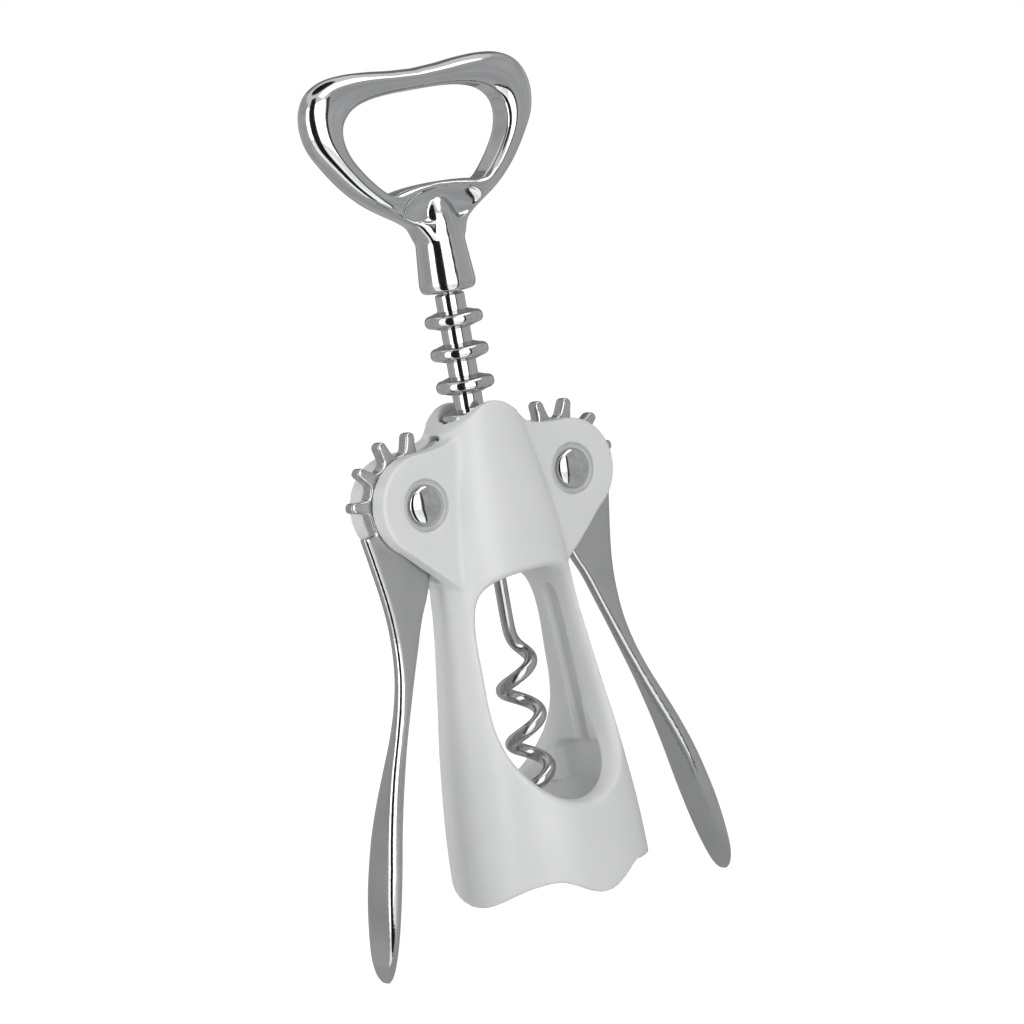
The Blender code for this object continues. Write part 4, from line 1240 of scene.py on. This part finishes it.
def lamp(name, azimuth, distance, height, tilt, width, length, power):
    """A soft box that faces the object's axis, level or tilted down at it."""
    light = bpy.data.lights.new(name, "AREA")
    light.shape = "RECTANGLE"
    light.size = width
    light.size_y = length
    light.energy = power
    item = add_object(name, light)
    way = outwards(azimuth)
    item.location = way * distance + Vector((0.0, 0.0, FLOOR_Z + height))
    facing = way * math.cos(math.radians(tilt)) + Vector((0.0, 0.0, math.sin(math.radians(tilt))))
    item.rotation_euler = facing.to_track_quat("Z", "Y").to_euler()


def finish_card(item, shade):
    """A mottled glow that only the metal shows: a painted reflection."""
    material, tree, shader = shader_of(item.name + "_cloth")
    dark, light = ((shade * share,) * 3 for share in (CARD_DARKEST, CARD_LIGHTEST))
    # Painted reflection: the card glows only for glossy rays, casts no shadow and lights no matt
    # face.
    mottle(tree, shader.inputs["Emission Color"], CARD_GRAIN, CARD_STOPS, dark, light)
    shader.inputs["Emission Strength"].default_value = 1.0
    shader.inputs["Base Color"].default_value = (*BLACK, 1.0)
    shader.inputs["Specular IOR Level"].default_value = 0.0
    item.data.materials.append(material)
    item.visible_camera = False
    item.visible_diffuse = False
    item.visible_shadow = False


def card(name, start, end, near, far, high, shade):
    """A glowing card bent round the object, with a foot over the floor: a painted reflection."""
    work = bmesh.new()
    level = Vector((0.0, 0.0, FLOOR_Z + GAP / 2))
    rows = []
    for index in range(CARD_STEPS + 1):
        way = outwards(start + (end - start) * index / CARD_STEPS)
        foot = way * far + level
        spots = (foot + Vector((0.0, 0.0, high)), foot, way * max(near, GAP) + level)
        rows.append([work.verts.new(spot) for spot in spots])
    for (top, low, inner), (next_top, next_low, next_inner) in zip(rows, rows[1:]):
        work.faces.new((low, next_low, next_top, top))
        if near < far:
            work.faces.new((inner, next_inner, next_low, low))
    finish_card(from_bmesh(name, work), shade)


def level_card(name, back, height, reach, shade):
    """A round glowing card under the object or over it: a painted reflection for the metal."""
    work = bmesh.new()
    bmesh.ops.create_circle(work, cap_ends=True, segments=ROUND_SEGMENTS, radius=reach)
    item = from_bmesh(name, work)
    item.location = (0.0, back, FLOOR_Z + height)
    finish_card(item, shade)


def camera():
    """The photograph's view: from the front left, a little above, with the tool leaning."""
    turn, rise = math.radians(CAMERA_YAW_DEG), math.radians(CAMERA_ELEVATION_DEG)
    lean = math.radians(CAMERA_ROLL_DEG)
    back = Vector((-math.sin(turn) * math.cos(rise), -math.cos(turn) * math.cos(rise), 0.0))
    back.z = math.sin(rise)
    level = Vector((math.cos(turn), -math.sin(turn), 0.0))
    rising = back.cross(level)
    right = level * math.cos(lean) - rising * math.sin(lean)
    up = level * math.sin(lean) + rising * math.cos(lean)
    matrix = Matrix((right, up, back)).transposed().to_4x4()
    spot = back * CAMERA_DISTANCE - level * CAMERA_RIGHT - rising * CAMERA_UP
    matrix.translation = spot + Vector(AXIS_PLACE)
    data = bpy.data.cameras.new("camera")
    data.sensor_width = SENSOR
    data.lens = CAMERA_PX_PER_MM * CAMERA_DISTANCE * MM_PER_M / IMAGE_SIZE * SENSOR
    data.clip_start, data.clip_end = CAMERA_RANGE
    item = add_object("camera", data)
    item.matrix_world = matrix
    bpy.context.scene.camera = item


def place(piece, name, body, slot, *nodes):
    """Names a piece and puts it on its body, in the place of the nodes that it shows."""
    piece.name = name
    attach(piece, body)
    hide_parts(*nodes)


def main():
    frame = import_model()
    parts = new_collection("looks")
    cutters = new_collection("cutters")
    white, bright, satin, wire = plastic(), chrome(), lever_metal(), steel()
    body = body_skin(build_body(parts, cutters), white, parts)
    place(body, "body_moulding", "frame", "white_plastic", "body")
    place(build_rack(parts, bright), "ringed_rack", "rack", "chrome_plate", "rack")
    handle = build_handle(parts, cutters, bright)
    place(handle, "loop_handle", "handle_and_worm", "chrome_plate", "handle")
    place(build_worm(parts, wire), "wire_worm", "handle_and_worm", "steel_wire", "worm")
    for side, word in ((-1, "left"), (1, "right")):
        lever = build_lever(side, parts, cutters, satin)
        place(lever, "geared_lever_" + word, word + "_lever", "chrome_plate", "lever_" + word)
        for face, spot in ((-1, "front"), (1, "back")):
            cap = build_cap(side, face, parts, bright)
            node_name = "cap_%s_%s" % (word, spot)
            place(cap, "domed_" + node_name, "frame", "chrome_plate", node_name)
        pin = frame["nodes"]["pivot_pin_" + word]
        pin.data.materials.clear()
        pin.data.materials.append(wire)
    for item in list(cutters.objects):
        bpy.data.objects.remove(item, do_unlink=True)
    camera()
    floor()
    world()
    for row in LAMPS:
        lamp(*row)
    for row in CARDS:
        card(*row)
    for row in LEVEL_CARDS:
        level_card(*row)
    bpy.context.scene.view_settings.view_transform = "Standard"


main()
